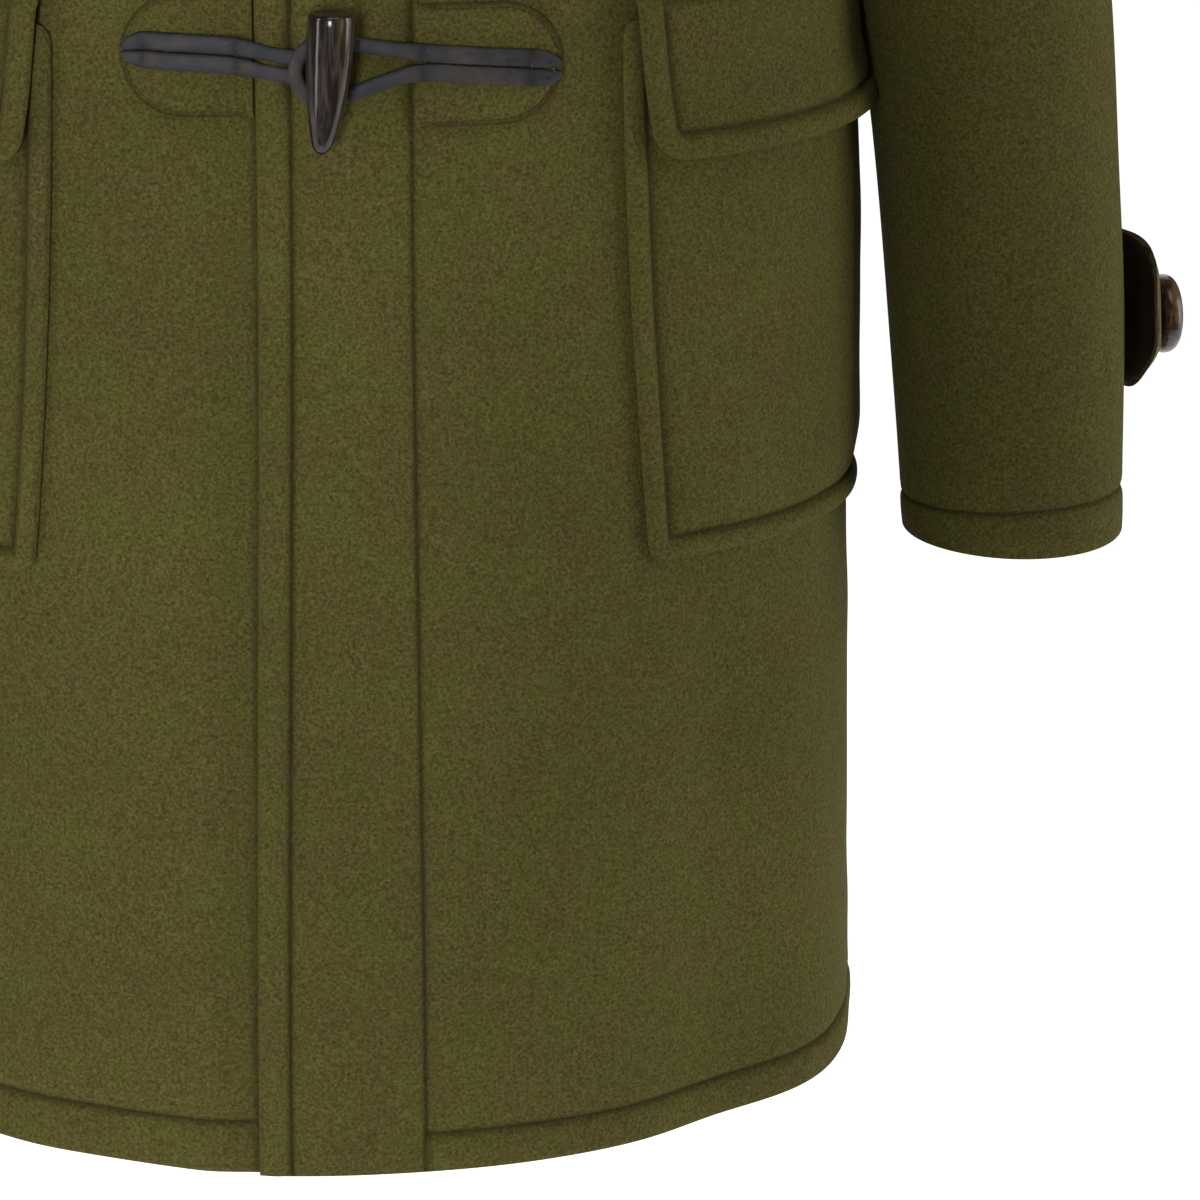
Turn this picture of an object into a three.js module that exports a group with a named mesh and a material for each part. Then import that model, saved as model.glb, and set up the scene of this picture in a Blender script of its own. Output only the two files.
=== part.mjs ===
// A duffle coat in heavy wool, in the shape that it has when worn, with nobody in it.
// Millimetres, +Z up. The front faces -Y and the wearer's left is +X. The origin is in the middle of
// the neck, level with the tops of the shoulders, where a wearer holds the coat up.
import * as THREE from "three";

// Driving sizes
const CLOTH = 3; // thickness of the wool
const SEAM_GAP = 0.4; // between pieces sewn edge to edge
const LAYER_GAP = 0.8; // between a piece and the panel that it is sewn on
const HEM_LEVEL = -955; // at the sides
const HEM_SWING = { rise: 4, starts: 0.1, full: 0.5 }; // the hem hangs higher on the wearer's right
const UNDERARM_LEVEL = -285;
const SHOULDER_LEVEL = -55; // the shoulder point, where the sleeve's head starts
const OVERLAP = { top: 31.7, bottom: 36.6 }; // the left front reaches this far past the centre
const UNDERLAP = 36; // the right front reaches this far under it
const STRIP_EDGE = { top: 36, bottom: 39.6 }; // the stitched line on the other side of the fly strip
const SIDE_SEAM = { hem: 104, underarm: 92, shoulder: 90 }; // degrees round from the centre front
const ARMHOLE = { front: 30, back: 28 }; // half widths in degrees round the body
const DIP = 3.7; // how far the right front sinks under the left one
const POCKET = { front: 131.5, frontLow: 147, width: 212, top: -430, bottom: -679, corner: 15, belly: 3 };
const FLAP = { front: 132, frontLow: 145, width: 206, top: -411, bottom: -496, corner: 15, thickness: 2.6 };
const PATCH = { thickness: 1.8, height: 54, leftReach: 102, rightReach: 90 };
const THONG = { width: 7.8, thickness: 3, gap: 0.5, steps: 30 };
const TOGGLE = { length: 62, radius: 10, above: 26, lift: 16.4, tipLift: 12.8, sides: 14 };
const TOGGLE_HEIGHTS = [-446, -296, -146]; // centres of the three fastenings
const CUFF_TAB = { width: 74, length: 118, centre: -601, thickness: 3, standOff: 14 };
const BUTTON = { radius: 18.5, thickness: 7.5 };

// The body's sections. A level is the height at the side of the body, and frontDrop and backRise say how
// much lower or higher the section is at the centre front and back.
const BODY = [
  { level: -955, halfWidth: 256.5, frontDepth: 176, backDepth: 167, frontDrop: -7.5, backRise: -5, square: 0.02 },
  { level: -800, halfWidth: 251, frontDepth: 169, backDepth: 160, frontDrop: 0, backRise: 0, square: 0.03 },
  { level: -680, halfWidth: 246, frontDepth: 163, backDepth: 155, frontDrop: 0, backRise: 0, square: 0.04 },
  { level: -520, halfWidth: 242, frontDepth: 158, backDepth: 150, frontDrop: 0, backRise: 0, square: 0.05 },
  { level: -450, halfWidth: 237, frontDepth: 156, backDepth: 147, frontDrop: 0, backRise: 0, square: 0.06 },
  { level: -380, halfWidth: 232, frontDepth: 154, backDepth: 145, frontDrop: 0, backRise: 0, square: 0.08 },
  { level: -290, halfWidth: 226, frontDepth: 151, backDepth: 144, frontDrop: 0, backRise: 0, square: 0.1 },
  { level: -200, halfWidth: 218, frontDepth: 144, backDepth: 141, frontDrop: -8, backRise: 8, square: 0.12 },
  { level: -120, halfWidth: 211, frontDepth: 130, backDepth: 135, frontDrop: -30, backRise: 18, square: 0.14 },
  { level: -55, halfWidth: 202, frontDepth: 112, backDepth: 120, frontDrop: -62, backRise: 23, square: 0.1 },
  { level: -36, halfWidth: 162, frontDepth: 106, backDepth: 105, frontDrop: -69, backRise: 24, square: 0.06 },
  { level: -19, halfWidth: 122, frontDepth: 100, backDepth: 86, frontDrop: -74, backRise: 22, square: 0.03 },
  { level: -7, halfWidth: 97, frontDepth: 95, backDepth: 72, frontDrop: -77, backRise: 17, square: 0 },
  { level: 0, halfWidth: 84, frontDepth: 92, backDepth: 64, frontDrop: -78, backRise: 14, square: 0 },
];

// Soft upright folds in the skirt: where, how wide, how deep (in is negative), and the levels between
// which they grow to their full depth.
const FOLDS = [
  { angle: 40, spread: 8, depth: -4.5, starts: -600, full: -780 },
  { angle: 60, spread: 9, depth: 3.5, starts: -685, full: -840 },
  { angle: 84, spread: 8, depth: -2.5, starts: -720, full: -880 },
  { angle: -43, spread: 8, depth: -4, starts: -640, full: -800 },
  { angle: -66, spread: 9, depth: 4, starts: -690, full: -850 },
  { angle: 124, spread: 8, depth: 5, starts: -600, full: -820 },
  { angle: 140, spread: 8, depth: -6, starts: -460, full: -760 },
  { angle: 160, spread: 9, depth: 5, starts: -430, full: -780 },
  { angle: 181, spread: 8, depth: -4, starts: -400, full: -700 },
  { angle: 203, spread: 9, depth: 5.5, starts: -480, full: -800 },
  { angle: 222, spread: 8, depth: -6, starts: -440, full: -760 },
  { angle: 240, spread: 9, depth: 4, starts: -610, full: -840 },
];

// The left sleeve's sections, from the armhole to the cuff. The outer line runs over the shoulder and
// down the outside of the arm, and the inner line down its inside.
const SLEEVE = [
  { along: 0, outerX: 202, outerZ: -55, innerX: 227, innerZ: -285, halfDepth: 74, centreY: 1 },
  { along: 0.08, outerX: 236, outerZ: -64, innerX: 231.5, innerZ: -309, halfDepth: 80, centreY: 0 },
  { along: 0.16, outerX: 266, outerZ: -88, innerX: 235, innerZ: -336, halfDepth: 81, centreY: 0 },
  { along: 0.25, outerX: 293, outerZ: -132, innerX: 238.5, innerZ: -363, halfDepth: 80, centreY: -1 },
  { along: 0.34, outerX: 316, outerZ: -195, innerX: 242, innerZ: -393, halfDepth: 78, centreY: -3 },
  { along: 0.44, outerX: 335, outerZ: -270, innerX: 245, innerZ: -422, halfDepth: 75, centreY: -5 },
  { along: 0.54, outerX: 350, outerZ: -350, innerX: 248, innerZ: -452, halfDepth: 71, centreY: -7 },
  { along: 0.65, outerX: 363, outerZ: -440, innerX: 254, innerZ: -508, halfDepth: 66, centreY: -9 },
  { along: 0.76, outerX: 370, outerZ: -524, innerX: 260.5, innerZ: -568, halfDepth: 62, centreY: -11 },
  { along: 0.87, outerX: 376, outerZ: -602, innerX: 266.5, innerZ: -626, halfDepth: 59, centreY: -13 },
  { along: 1, outerX: 379, outerZ: -702, innerX: 273.5, innerZ: -702, halfDepth: 55, centreY: -15 },
];

// The hood lies down on the back. Each row is a place round the neck, in degrees from the centre back:
// the way that the hood runs out from there, how high its roll stands, how far the bag behind it reaches
// over the back, how thick the bag is, and where the rim of the face opening ends.
const HOOD_SPAN = 178.6; // degrees from the centre back to each end of the neck seam
const HOOD_SEAM = 0.15; // degrees from the centre back to each half's edge at the seam
const HOOD_CLEARANCE = 13.3; // from the coat to the middle of the cloth that lies on it
const HOOD = [
  { angle: 0, heading: 0, rollHeight: 50, bagReach: 285, bagDepth: 44, rimReach: 72, rimHeight: 62 },
  { angle: 30, heading: 17, rollHeight: 50, bagReach: 256, bagDepth: 42, rimReach: 69, rimHeight: 60 },
  { angle: 60, heading: 38, rollHeight: 48, bagReach: 168, bagDepth: 34, rimReach: 58, rimHeight: 52 },
  { angle: 90, heading: 72, rollHeight: 44, bagReach: 98, bagDepth: 24, rimReach: 47, rimHeight: 42 },
  { angle: 120, heading: 106, rollHeight: 38, bagReach: 78, bagDepth: 16, rimReach: 44, rimHeight: 30 },
  { angle: 150, heading: 138, rollHeight: 30, bagReach: 62, bagDepth: 10, rimReach: 48, rimHeight: 22 },
  { angle: 179, heading: 168, rollHeight: 20, bagReach: 42, bagDepth: 8, rimReach: 38, rimHeight: 16 },
];

// How finely the solids are divided
const ROWS = { skirt: 8, armhole: 10, shoulder: 4, sleeve: 14, hood: 18 };
const COLUMNS = { front: 8, back: 18, pocket: 8, flap: 10, hood: 19 };

const WOOL = { color: 0x55522b, roughness: 0.95, metalness: 0 };
const LEATHER = { color: 0x35332f, roughness: 0.6, metalness: 0 };
const TAB_LEATHER = { color: 0x1e1812, roughness: 0.6, metalness: 0 };
const HORN = { color: 0x3a3028, roughness: 0.2, metalness: 0 };

const rad = THREE.MathUtils.degToRad;
const lerp = THREE.MathUtils.lerp;
const smooth = (low, high, x) => THREE.MathUtils.smoothstep((x - low) / (high - low), 0, 1);
const along = (from, to, count) => Array.from({ length: count + 1 }, (_, i) => lerp(from, to, i / count));

// A smooth curve through one column of a table that is sorted by its key.
function column(rows, key, name) {
  const x = rows.map((row) => row[key]);
  const y = rows.map((row) => row[name]);
  const last = x.length - 1;
  const slope = x.map((_, i) => {
    const [a, b] = [Math.max(i - 1, 0), Math.min(i + 1, last)];
    return (y[b] - y[a]) / (x[b] - x[a]);
  });
  return (at) => {
    if (at <= x[0]) return y[0] + slope[0] * (at - x[0]);
    if (at >= x[last]) return y[last] + slope[last] * (at - x[last]);
    const i = x.findIndex((value) => value > at) - 1;
    const width = x[i + 1] - x[i];
    const u = (at - x[i]) / width;
    const [u2, u3] = [u * u, u * u * u];
    return (
      y[i] * (2 * u3 - 3 * u2 + 1) +
      slope[i] * width * (u3 - 2 * u2 + u) +
      y[i + 1] * (3 * u2 - 2 * u3) +
      slope[i + 1] * width * (u3 - u2)
    );
  };
}

const curves = (rows, key) =>
  Object.fromEntries(
    Object.keys(rows[0])
      .filter((name) => name !== key)
      .map((name) => [name, column(rows, key, name)]),
  );
const body = curves(BODY, "level");
const sleeve = curves(SLEEVE, "along");
const hood = curves(HOOD, "angle");

// A point of the plain body, with no folds. The angle is in radians round from the centre front.
function bodyBase(angle, level) {
  const [s, c] = [Math.sin(angle), Math.cos(angle)];
  const square = body.square(level);
  const depth = c > 0 ? body.frontDepth(level) : body.backDepth(level);
  const climb = c > 0 ? body.frontDrop(level) : body.backRise(level);
  const { rise, starts, full } = HEM_SWING;
  const swing = rise * smooth(starts, full, -s) * smooth(-700, HEM_LEVEL, level);
  return new THREE.Vector3(
    body.halfWidth(level) * s * (1 + square * c * c),
    -depth * c * (1 + square * s * s),
    level + climb * Math.abs(c) ** 1.6 + swing,
  );
}

// How the plain body runs with the angle and with the level.
function bodyTangents(angle, level) {
  const step = 1e-3;
  const round = bodyBase(angle + step, level).sub(bodyBase(angle - step, level));
  const up = bodyBase(angle, level + 0.5).sub(bodyBase(angle, level - 0.5));
  return { round: round.divideScalar(2 * step), up };
}

function bodyNormal(angle, level) {
  const { round, up } = bodyTangents(angle, level);
  return round.cross(up).normalize();
}

function foldAt(angle, level) {
  const degrees = THREE.MathUtils.radToDeg(angle);
  return FOLDS.reduce((sum, fold) => {
    const away = THREE.MathUtils.euclideanModulo(degrees - fold.angle + 180, 360) - 180;
    const grown = smooth(fold.starts, fold.full, level);
    return sum + fold.depth * grown * Math.exp(-((away / fold.spread) ** 2));
  }, 0);
}

// A point of the coat's body, lifted off the outer face of the cloth.
const onBody = (angle, level, lift = 0) =>
  bodyBase(angle, level).addScaledVector(bodyNormal(angle, level), lift + foldAt(angle, level));

// How fast the cloth runs round the body with the angle, seen from above.
function roundSpeed(angle, level) {
  const [s, c] = [Math.sin(angle), Math.cos(angle)];
  const square = body.square(level);
  const depth = c > 0 ? body.frontDepth(level) : body.backDepth(level);
  const x = body.halfWidth(level) * c * (1 + square * (c * c - 2 * s * s));
  const y = depth * s * (1 + square * (s * s - 2 * c * c));
  return Math.hypot(x, y);
}

// The angle at a distance across the cloth from the centre front, by Newton's method.
function angleAcross(across, level) {
  const steps = 12;
  let angle = across / body.halfWidth(level);
  for (let turn = 0; turn < 5; turn++) {
    let length = 0;
    for (let i = 0; i < steps; i++) {
      length += roundSpeed((angle * (i + 0.5)) / steps, level) * (angle / steps);
    }
    angle += (across - length) / roundSpeed(angle, level);
  }
  return angle;
}

// A point of the cloth at a distance across from the centre front and a height, lifted off it.
function onFront(across, height, lift = 0) {
  let level = height;
  let angle = 0;
  for (let turn = 0; turn < 8; turn++) {
    angle = angleAcross(across, level);
    level += height - bodyBase(angle, level).z;
  }
  return onBody(angle, level, lift);
}

// Solids

function solid(name, points, faces, look, group) {
  let volume = 0;
  for (const [a, b, c] of faces) {
    volume += points[a].dot(new THREE.Vector3().crossVectors(points[b], points[c]));
  }
  const turned = volume < 0 ? faces.map(([a, b, c]) => [a, c, b]) : faces;
  const geometry = new THREE.BufferGeometry();
  geometry.setAttribute(
    "position",
    new THREE.Float32BufferAttribute(points.flatMap((p) => [p.x, p.y, p.z]), 3),
  );
  geometry.setIndex(turned.flat());
  geometry.computeVertexNormals();
  const mesh = new THREE.Mesh(geometry, new THREE.MeshStandardMaterial({ ...look, name }));
  mesh.name = name;
  group.add(mesh);
}

// A wall between two faces of points with the same rows and columns. A ring joins its last column to
// its first.
function wall(name, outer, inner, look, group, ring = false) {
  const rows = outer.length;
  const columns = outer[0].length;
  const points = [...outer.flat(), ...inner.flat()];
  const at = (side, i, j) => side * rows * columns + i * columns + (j % columns);
  const faces = [];
  const quad = (a, b, c, d) => faces.push([a, b, c], [a, c, d]);
  const across = ring ? columns : columns - 1;
  for (let i = 0; i < rows - 1; i++) {
    for (let j = 0; j < across; j++) {
      quad(at(0, i, j), at(0, i, j + 1), at(0, i + 1, j + 1), at(0, i + 1, j));
      quad(at(1, i, j), at(1, i + 1, j), at(1, i + 1, j + 1), at(1, i, j + 1));
    }
  }
  for (let j = 0; j < across; j++) {
    quad(at(0, 0, j), at(1, 0, j), at(1, 0, j + 1), at(0, 0, j + 1));
    quad(at(0, rows - 1, j), at(0, rows - 1, j + 1), at(1, rows - 1, j + 1), at(1, rows - 1, j));
  }
  if (!ring) {
    for (let i = 0; i < rows - 1; i++) {
      quad(at(0, i, 0), at(0, i + 1, 0), at(1, i + 1, 0), at(1, i, 0));
      quad(at(0, i, across), at(1, i, across), at(1, i + 1, across), at(0, i + 1, across));
    }
  }
  solid(name, points, faces, look, group);
}

// A bar that follows a path, from rings of points, closed at both ends.
function bar(name, rings, look, group) {
  const sides = rings[0].length;
  const points = rings.flat();
  const faces = [];
  for (let i = 0; i < rings.length - 1; i++) {
    for (let j = 0; j < sides; j++) {
      const [a, b] = [i * sides + j, i * sides + ((j + 1) % sides)];
      faces.push([a, b, b + sides], [a, b + sides, a + sides]);
    }
  }
  const end = (rings.length - 1) * sides;
  for (let j = 1; j < sides - 1; j++) {
    faces.push([0, j + 1, j], [end, end + j, end + j + 1]);
  }
  solid(name, points, faces, look, group);
}

// Levels of the body panels' rows. Those beside the armhole are spaced round its curve.
const armholeMiddle = (UNDERARM_LEVEL + SHOULDER_LEVEL) / 2;
const armholeHalf = (SHOULDER_LEVEL - UNDERARM_LEVEL) / 2;
const LEVELS = [
  ...along(HEM_LEVEL, UNDERARM_LEVEL, ROWS.skirt),
  ...along(-90, 90, ROWS.armhole)
    .slice(1)
    .map((turn) => armholeMiddle + armholeHalf * Math.sin(rad(turn))),
  ...along(SHOULDER_LEVEL, 0, ROWS.shoulder).slice(1),
];

// The angle of the side seam, of the armhole's middle and of the shoulder seam above it.
function seamAngle(level) {
  if (level < UNDERARM_LEVEL) {
    const share = (level - HEM_LEVEL) / (UNDERARM_LEVEL - HEM_LEVEL);
    return rad(lerp(SIDE_SEAM.hem, SIDE_SEAM.underarm, share));
  }
  const share = Math.min(1, (level - UNDERARM_LEVEL) / (SHOULDER_LEVEL - UNDERARM_LEVEL));
  return rad(lerp(SIDE_SEAM.underarm, SIDE_SEAM.shoulder, share));
}

// Half the armhole's width at a level, in radians, and nothing above or below it.
function armholeWidth(level, half) {
  const off = (level - armholeMiddle) / armholeHalf;
  return Math.abs(off) >= 1 ? 0 : rad(half) * Math.sqrt(1 - off * off);
}

const downFront = (ends, level) => lerp(ends.bottom, ends.top, smooth(HEM_LEVEL, -480, level));
const flyEdge = (level) => -downFront(OVERLAP, level);
const stripEdge = (level) => downFront(STRIP_EDGE, level);

// How far the right front sinks to pass under the left one.
const dip = (across) => -DIP * smooth(-66, -36, across);

// One front panel. Its first columns are set across the fly strip, and the rest run to the side.
function front(name, side, group) {
  const nearColumns = (level) =>
    side > 0
      ? [flyEdge(level), flyEdge(level) + 15, 2, 19, stripEdge(level)]
      : [UNDERLAP, 2, flyEdge(level) + 1, flyEdge(level) - 2, -50, -66];
  const face = (lift) =>
    LEVELS.map((level) => {
      const near = nearColumns(level).map((across) => angleAcross(across, level));
      const seam = side * (seamAngle(level) - armholeWidth(level, ARMHOLE.front));
      const edge = seam - (side * SEAM_GAP) / 2 / roundSpeed(seam, level);
      const far = along(near[near.length - 1], edge, COLUMNS.front).slice(1);
      const sink = (angle) => (side > 0 ? 0 : dip(angle * body.halfWidth(level)));
      return [...near, ...far].map((angle) => onBody(angle, level, lift + sink(angle)));
    });
  wall(name, face(0), face(-CLOTH), WOOL, group);
}

function back(group) {
  const face = (lift) =>
    LEVELS.map((level) => {
      const start = seamAngle(level) + armholeWidth(level, ARMHOLE.back);
      const edge = start + SEAM_GAP / 2 / roundSpeed(start, level);
      return along(edge, 2 * Math.PI - edge, COLUMNS.back).map((angle) => onBody(angle, level, lift));
    });
  wall("back", face(0), face(-CLOTH), WOOL, group);
}

// Sleeves

// The armhole's edge, a little inside the panels' own edge. Turn is 0 at the front and a quarter at the top.
function armholePoint(turn) {
  const shrink = 1 - SEAM_GAP / 90;
  const level = armholeMiddle + armholeHalf * shrink * Math.sin(turn);
  const width = Math.cos(turn) > 0 ? ARMHOLE.front : ARMHOLE.back;
  return onBody(seamAngle(level) - rad(width) * shrink * Math.cos(turn), level);
}

function sleeveBase(turn, share) {
  const outer = new THREE.Vector3(sleeve.outerX(share), sleeve.centreY(share), sleeve.outerZ(share));
  const inner = new THREE.Vector3(sleeve.innerX(share), sleeve.centreY(share), sleeve.innerZ(share));
  const point = outer.clone().add(inner).multiplyScalar(0.5);
  point.addScaledVector(outer.sub(inner), Math.sin(turn) / 2);
  point.y -= sleeve.halfDepth(share) * Math.cos(turn);
  return point.lerp(armholePoint(turn), 1 - smooth(0, 0.14, share));
}

function onSleeve(turn, share, lift) {
  const [stepTurn, stepShare] = [0.02, 0.004];
  const round = sleeveBase(turn + stepTurn, share).sub(sleeveBase(turn - stepTurn, share));
  const low = Math.max(share - stepShare, 0);
  const down = sleeveBase(turn, low + 2 * stepShare).sub(sleeveBase(turn, low));
  const normal = round.cross(down).normalize();
  return sleeveBase(turn, share).addScaledVector(normal, -lift);
}

const mirrored = (side) => (point) => new THREE.Vector3(side * point.x, point.y, point.z);

function sleeveTube(name, side, group) {
  const shares = along(0, 1, ROWS.sleeve).map((share) => share ** 1.15);
  const half = along(-90, 90, ROWS.armhole);
  const turns = [...half, ...half.map((turn) => turn + 180)].filter((turn, i) => i !== half.length);
  const face = (lift) =>
    shares.map((share) =>
      turns.slice(0, -1).map((turn) => mirrored(side)(onSleeve(rad(turn), share, lift))),
    );
  wall(name, face(0), face(-CLOTH), WOOL, group, true);
}

// The share down the sleeve at which its outside is at a height.
function shareAtHeight(turn, height) {
  let [low, high] = [0.3, 1];
  for (let i = 0; i < 24; i++) {
    const middle = (low + high) / 2;
    if (sleeveBase(turn, middle).z > height) low = middle;
    else high = middle;
  }
  return (low + high) / 2;
}

// The cuff's tab is sewn in at the back of the arm and its round end stands off at the outside.
const TAB_TURNS = { root: 196, end: 76 };
const tabLift = (share) => LAYER_GAP + CUFF_TAB.standOff * smooth(0.35, 0.95, share);

function tabPoint(share, height, lift) {
  const turn = rad(lerp(TAB_TURNS.root, TAB_TURNS.end, share));
  return onSleeve(turn, shareAtHeight(turn, height), tabLift(share) + lift);
}

function cuffTab(name, side, group) {
  const radius = CUFF_TAB.width / 2;
  const straight = along(0, 1 - radius / CUFF_TAB.length, 7);
  const bend = straight[straight.length - 1];
  const rounded = along(0, 82, 6)
    .slice(1)
    .map((turn) => bend + (radius / CUFF_TAB.length) * Math.sin(rad(turn)));
  const halfWidth = (share) => {
    const off = Math.max(0, (share - bend) * CUFF_TAB.length) / radius;
    return radius * Math.sqrt(Math.max(0, 1 - off * off));
  };
  const face = (lift) =>
    [...straight, ...rounded].map((share) =>
      along(-1, 1, 6).map((across) =>
        mirrored(side)(tabPoint(share, CUFF_TAB.centre + across * halfWidth(share), lift)),
      ),
    );
  wall(name, face(CUFF_TAB.thickness), face(0), TAB_LEATHER, group);
}

// A round button with a raised rim, on the tab near its end.
function button(name, side, group) {
  const seat = tabPoint(0.83, CUFF_TAB.centre, CUFF_TAB.thickness);
  const beside = tabPoint(0.89, CUFF_TAB.centre, CUFF_TAB.thickness).sub(seat);
  const below = tabPoint(0.83, CUFF_TAB.centre - 10, CUFF_TAB.thickness).sub(seat);
  const out = beside.cross(below).normalize();
  if (out.x < 0) out.negate();
  const { radius, thickness } = BUTTON;
  const profile = [
    [0, 0],
    [radius - 2.5, 0],
    [radius, 2.5],
    [radius, thickness - 2.5],
    [radius - 2, thickness],
    [radius - 5, thickness],
    [radius - 8, thickness - 2],
    [0, thickness - 2],
  ].map(([x, y]) => new THREE.Vector2(x, y));
  const geometry = new THREE.LatheGeometry(profile, 20);
  const upright = new THREE.Quaternion().setFromUnitVectors(
    new THREE.Vector3(0, 1, 0),
    new THREE.Vector3(side * out.x, out.y, out.z),
  );
  const mesh = new THREE.Mesh(geometry, new THREE.MeshStandardMaterial({ ...HORN, name }));
  mesh.name = name;
  mesh.quaternion.copy(upright);
  mesh.position.copy(mirrored(side)(seat.addScaledVector(out, LAYER_GAP)));
  group.add(mesh);
}

// Pockets

// Heights of a piece's rows, and how far each is set in at both ends for the round corners.
function cornerRows(top, bottom, corner, topCorner) {
  const low = along(0, 90, 3).map((turn) => ({
    height: bottom + corner * (1 - Math.cos(rad(turn))),
    inset: corner * (1 - Math.sin(rad(turn))),
  }));
  const high = along(0, 90, 2).map((turn) => ({
    height: top - topCorner * (1 - Math.sin(rad(turn))),
    inset: topCorner * (1 - Math.cos(rad(turn))),
  }));
  return { low, high };
}

// A patch pocket. Its border is sewn down and its middle stands a little off the coat.
function pocket(name, side, group) {
  const { low, high } = cornerRows(POCKET.top, POCKET.bottom, POCKET.corner, 8);
  const middle = [27, 43, 95, 145, 195].map((rise) => ({ height: POCKET.bottom + rise, inset: 0 }));
  const edge = (height) =>
    lerp(POCKET.frontLow, POCKET.front, (height - POCKET.bottom) / (POCKET.top - POCKET.bottom));
  const columns = [0, 0.05, ...along(0.13, 0.87, COLUMNS.pocket), 0.95, 1];
  const face = (lift) =>
    [...low, ...middle, ...high].map(({ height, inset }) => {
      const start = edge(height) + inset;
      const end = edge(height) + POCKET.width - inset;
      return columns.map((share) => {
        const across = lerp(start, end, share);
        const fromEnds = Math.min(across - edge(height), edge(height) + POCKET.width - across);
        const belly = POCKET.belly * smooth(9, 32, Math.min(fromEnds, height - POCKET.bottom));
        return onFront(side * across, height, lift + LAYER_GAP + belly);
      });
    });
  wall(name, face(CLOTH), face(0), WOOL, group);
}

// The flap is sewn above the pocket and hangs over its mouth.
function pocketFlap(name, side, group) {
  const { low } = cornerRows(FLAP.top, FLAP.bottom, FLAP.corner, 0);
  const rises = [26, 40, 56, 62, 68, 75, FLAP.top - FLAP.bottom];
  const high = rises.map((rise) => ({ height: FLAP.bottom + rise, inset: 0 }));
  const edge = (height) => lerp(FLAP.frontLow, FLAP.front, (height - FLAP.bottom) / (FLAP.top - FLAP.bottom));
  const columns = along(0, 1, COLUMNS.flap);
  const over = LAYER_GAP + CLOTH + POCKET.belly;
  const face = (lift) =>
    [...low, ...high].map(({ height, inset }) =>
      columns.map((share) => {
        const across = lerp(edge(height) + inset, edge(height) + FLAP.width - inset, share);
        const rise = over * smooth(FLAP.top, POCKET.top + 5, height);
        return onFront(side * across, height, lift + LAYER_GAP + rise);
      }),
    );
  wall(name, face(FLAP.thickness), face(0), WOOL, group);
}

// Fastenings

// A cloth patch with one round end, under the leather. It starts at the left front's edge or stitched line.
function fasteningPatch(name, side, centre, group) {
  const half = PATCH.height / 2;
  const reach = side > 0 ? PATCH.leftReach : PATCH.rightReach;
  const near = (side > 0 ? stripEdge(centre) : -flyEdge(centre)) + LAYER_GAP;
  const sink = (across) => (side > 0 ? 0 : dip(across));
  const face = (lift) =>
    along(-90, 90, 8).map((turn) => {
      const height = centre + half * Math.sin(rad(turn));
      const end = reach - half * (1 - Math.cos(rad(turn)));
      const stops = side > 0 ? along(near, end, 4) : [near, 36, 50, ...along(50, end, 2).slice(1)];
      return stops.map((across) => onFront(side * across, height, lift + sink(side * across) + LAYER_GAP));
    });
  wall(name, face(PATCH.thickness), face(0), WOOL, group);
}

// A leather thong: a flat bar with rounded edges along a route of places on the front of the coat.
function thong(name, route, group) {
  const centres = route.map(({ across, height, lift }) => onFront(across, height, lift));
  const lifted = route.map(({ across, height, lift }) => onFront(across, height, lift + 1));
  const line = new THREE.CatmullRomCurve3(centres, false, "centripetal");
  const above = new THREE.CatmullRomCurve3(lifted, false, "centripetal");
  const { width, thickness } = THONG;
  const section = [
    [-0.5, 0],
    [-0.34, -0.5],
    [0.34, -0.5],
    [0.5, 0],
    [0.34, 0.5],
    [-0.34, 0.5],
  ];
  const rings = along(0, 1, THONG.steps).map((share) => {
    const centre = line.getPoint(share);
    const tangent = line.getTangent(share);
    const out = above.getPoint(share).sub(centre);
    const aside = out.clone().cross(tangent).normalize();
    const up = tangent.clone().cross(aside).normalize();
    return section.map(([x, y]) =>
      centre.clone().addScaledVector(aside, x * width).addScaledVector(up, y * thickness),
    );
  });
  bar(name, rings, LEATHER, group);
}

// Both thongs are folded in two. The left front's makes the loop, and the right front's holds the toggle.
// Each row is a place along the pair: how far across, how high against the fastening's centre, how far
// each half lies from the pair's middle, and how far off the coat.
const onPatch = LAYER_GAP * 2 + PATCH.thickness + THONG.thickness / 2;
const onCloth = LAYER_GAP + THONG.thickness / 2;
const pair = (THONG.width + THONG.gap) / 2;

const LOOP_ROUTE = [
  { across: 100, middle: -3, apart: pair, lift: onPatch },
  { across: 80, middle: -1.2, apart: pair, lift: onPatch },
  { across: 60, middle: 0.4, apart: pair, lift: onPatch },
  { across: 44, middle: 1.8, apart: pair, lift: onPatch },
  { across: 33, middle: 1.8, apart: pair + 1.2, lift: onPatch - 0.6 },
  { across: 20, middle: 0.6, apart: pair + 4, lift: onCloth + 0.6 },
  { across: 8, middle: -0.8, apart: pair + 7.2, lift: onCloth + 0.4 },
  { across: -3, middle: -1, apart: pair + 7.6, lift: onCloth + 1.8 },
];
const HOLDER_ROUTE = [
  { across: -86, middle: 7.4, apart: pair, lift: onPatch },
  { across: -70, middle: 6.6, apart: pair, lift: onPatch },
  { across: -54, middle: 6, apart: pair, lift: onPatch - 0.6 },
  { across: -40, middle: 5, apart: pair, lift: onPatch - 1.2 },
  { across: -30, middle: 3, apart: pair, lift: onCloth + 0.6 },
  { across: -18, middle: 0.6, apart: pair, lift: onCloth },
  { across: -6, middle: -1, apart: pair + 1, lift: onCloth + 0.2 },
];

const LOOP_TURN = { reach: -11, lift: 3.4 };
const HOLDER_TURN = { reach: 5.5, lift: 0.4 };

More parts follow.
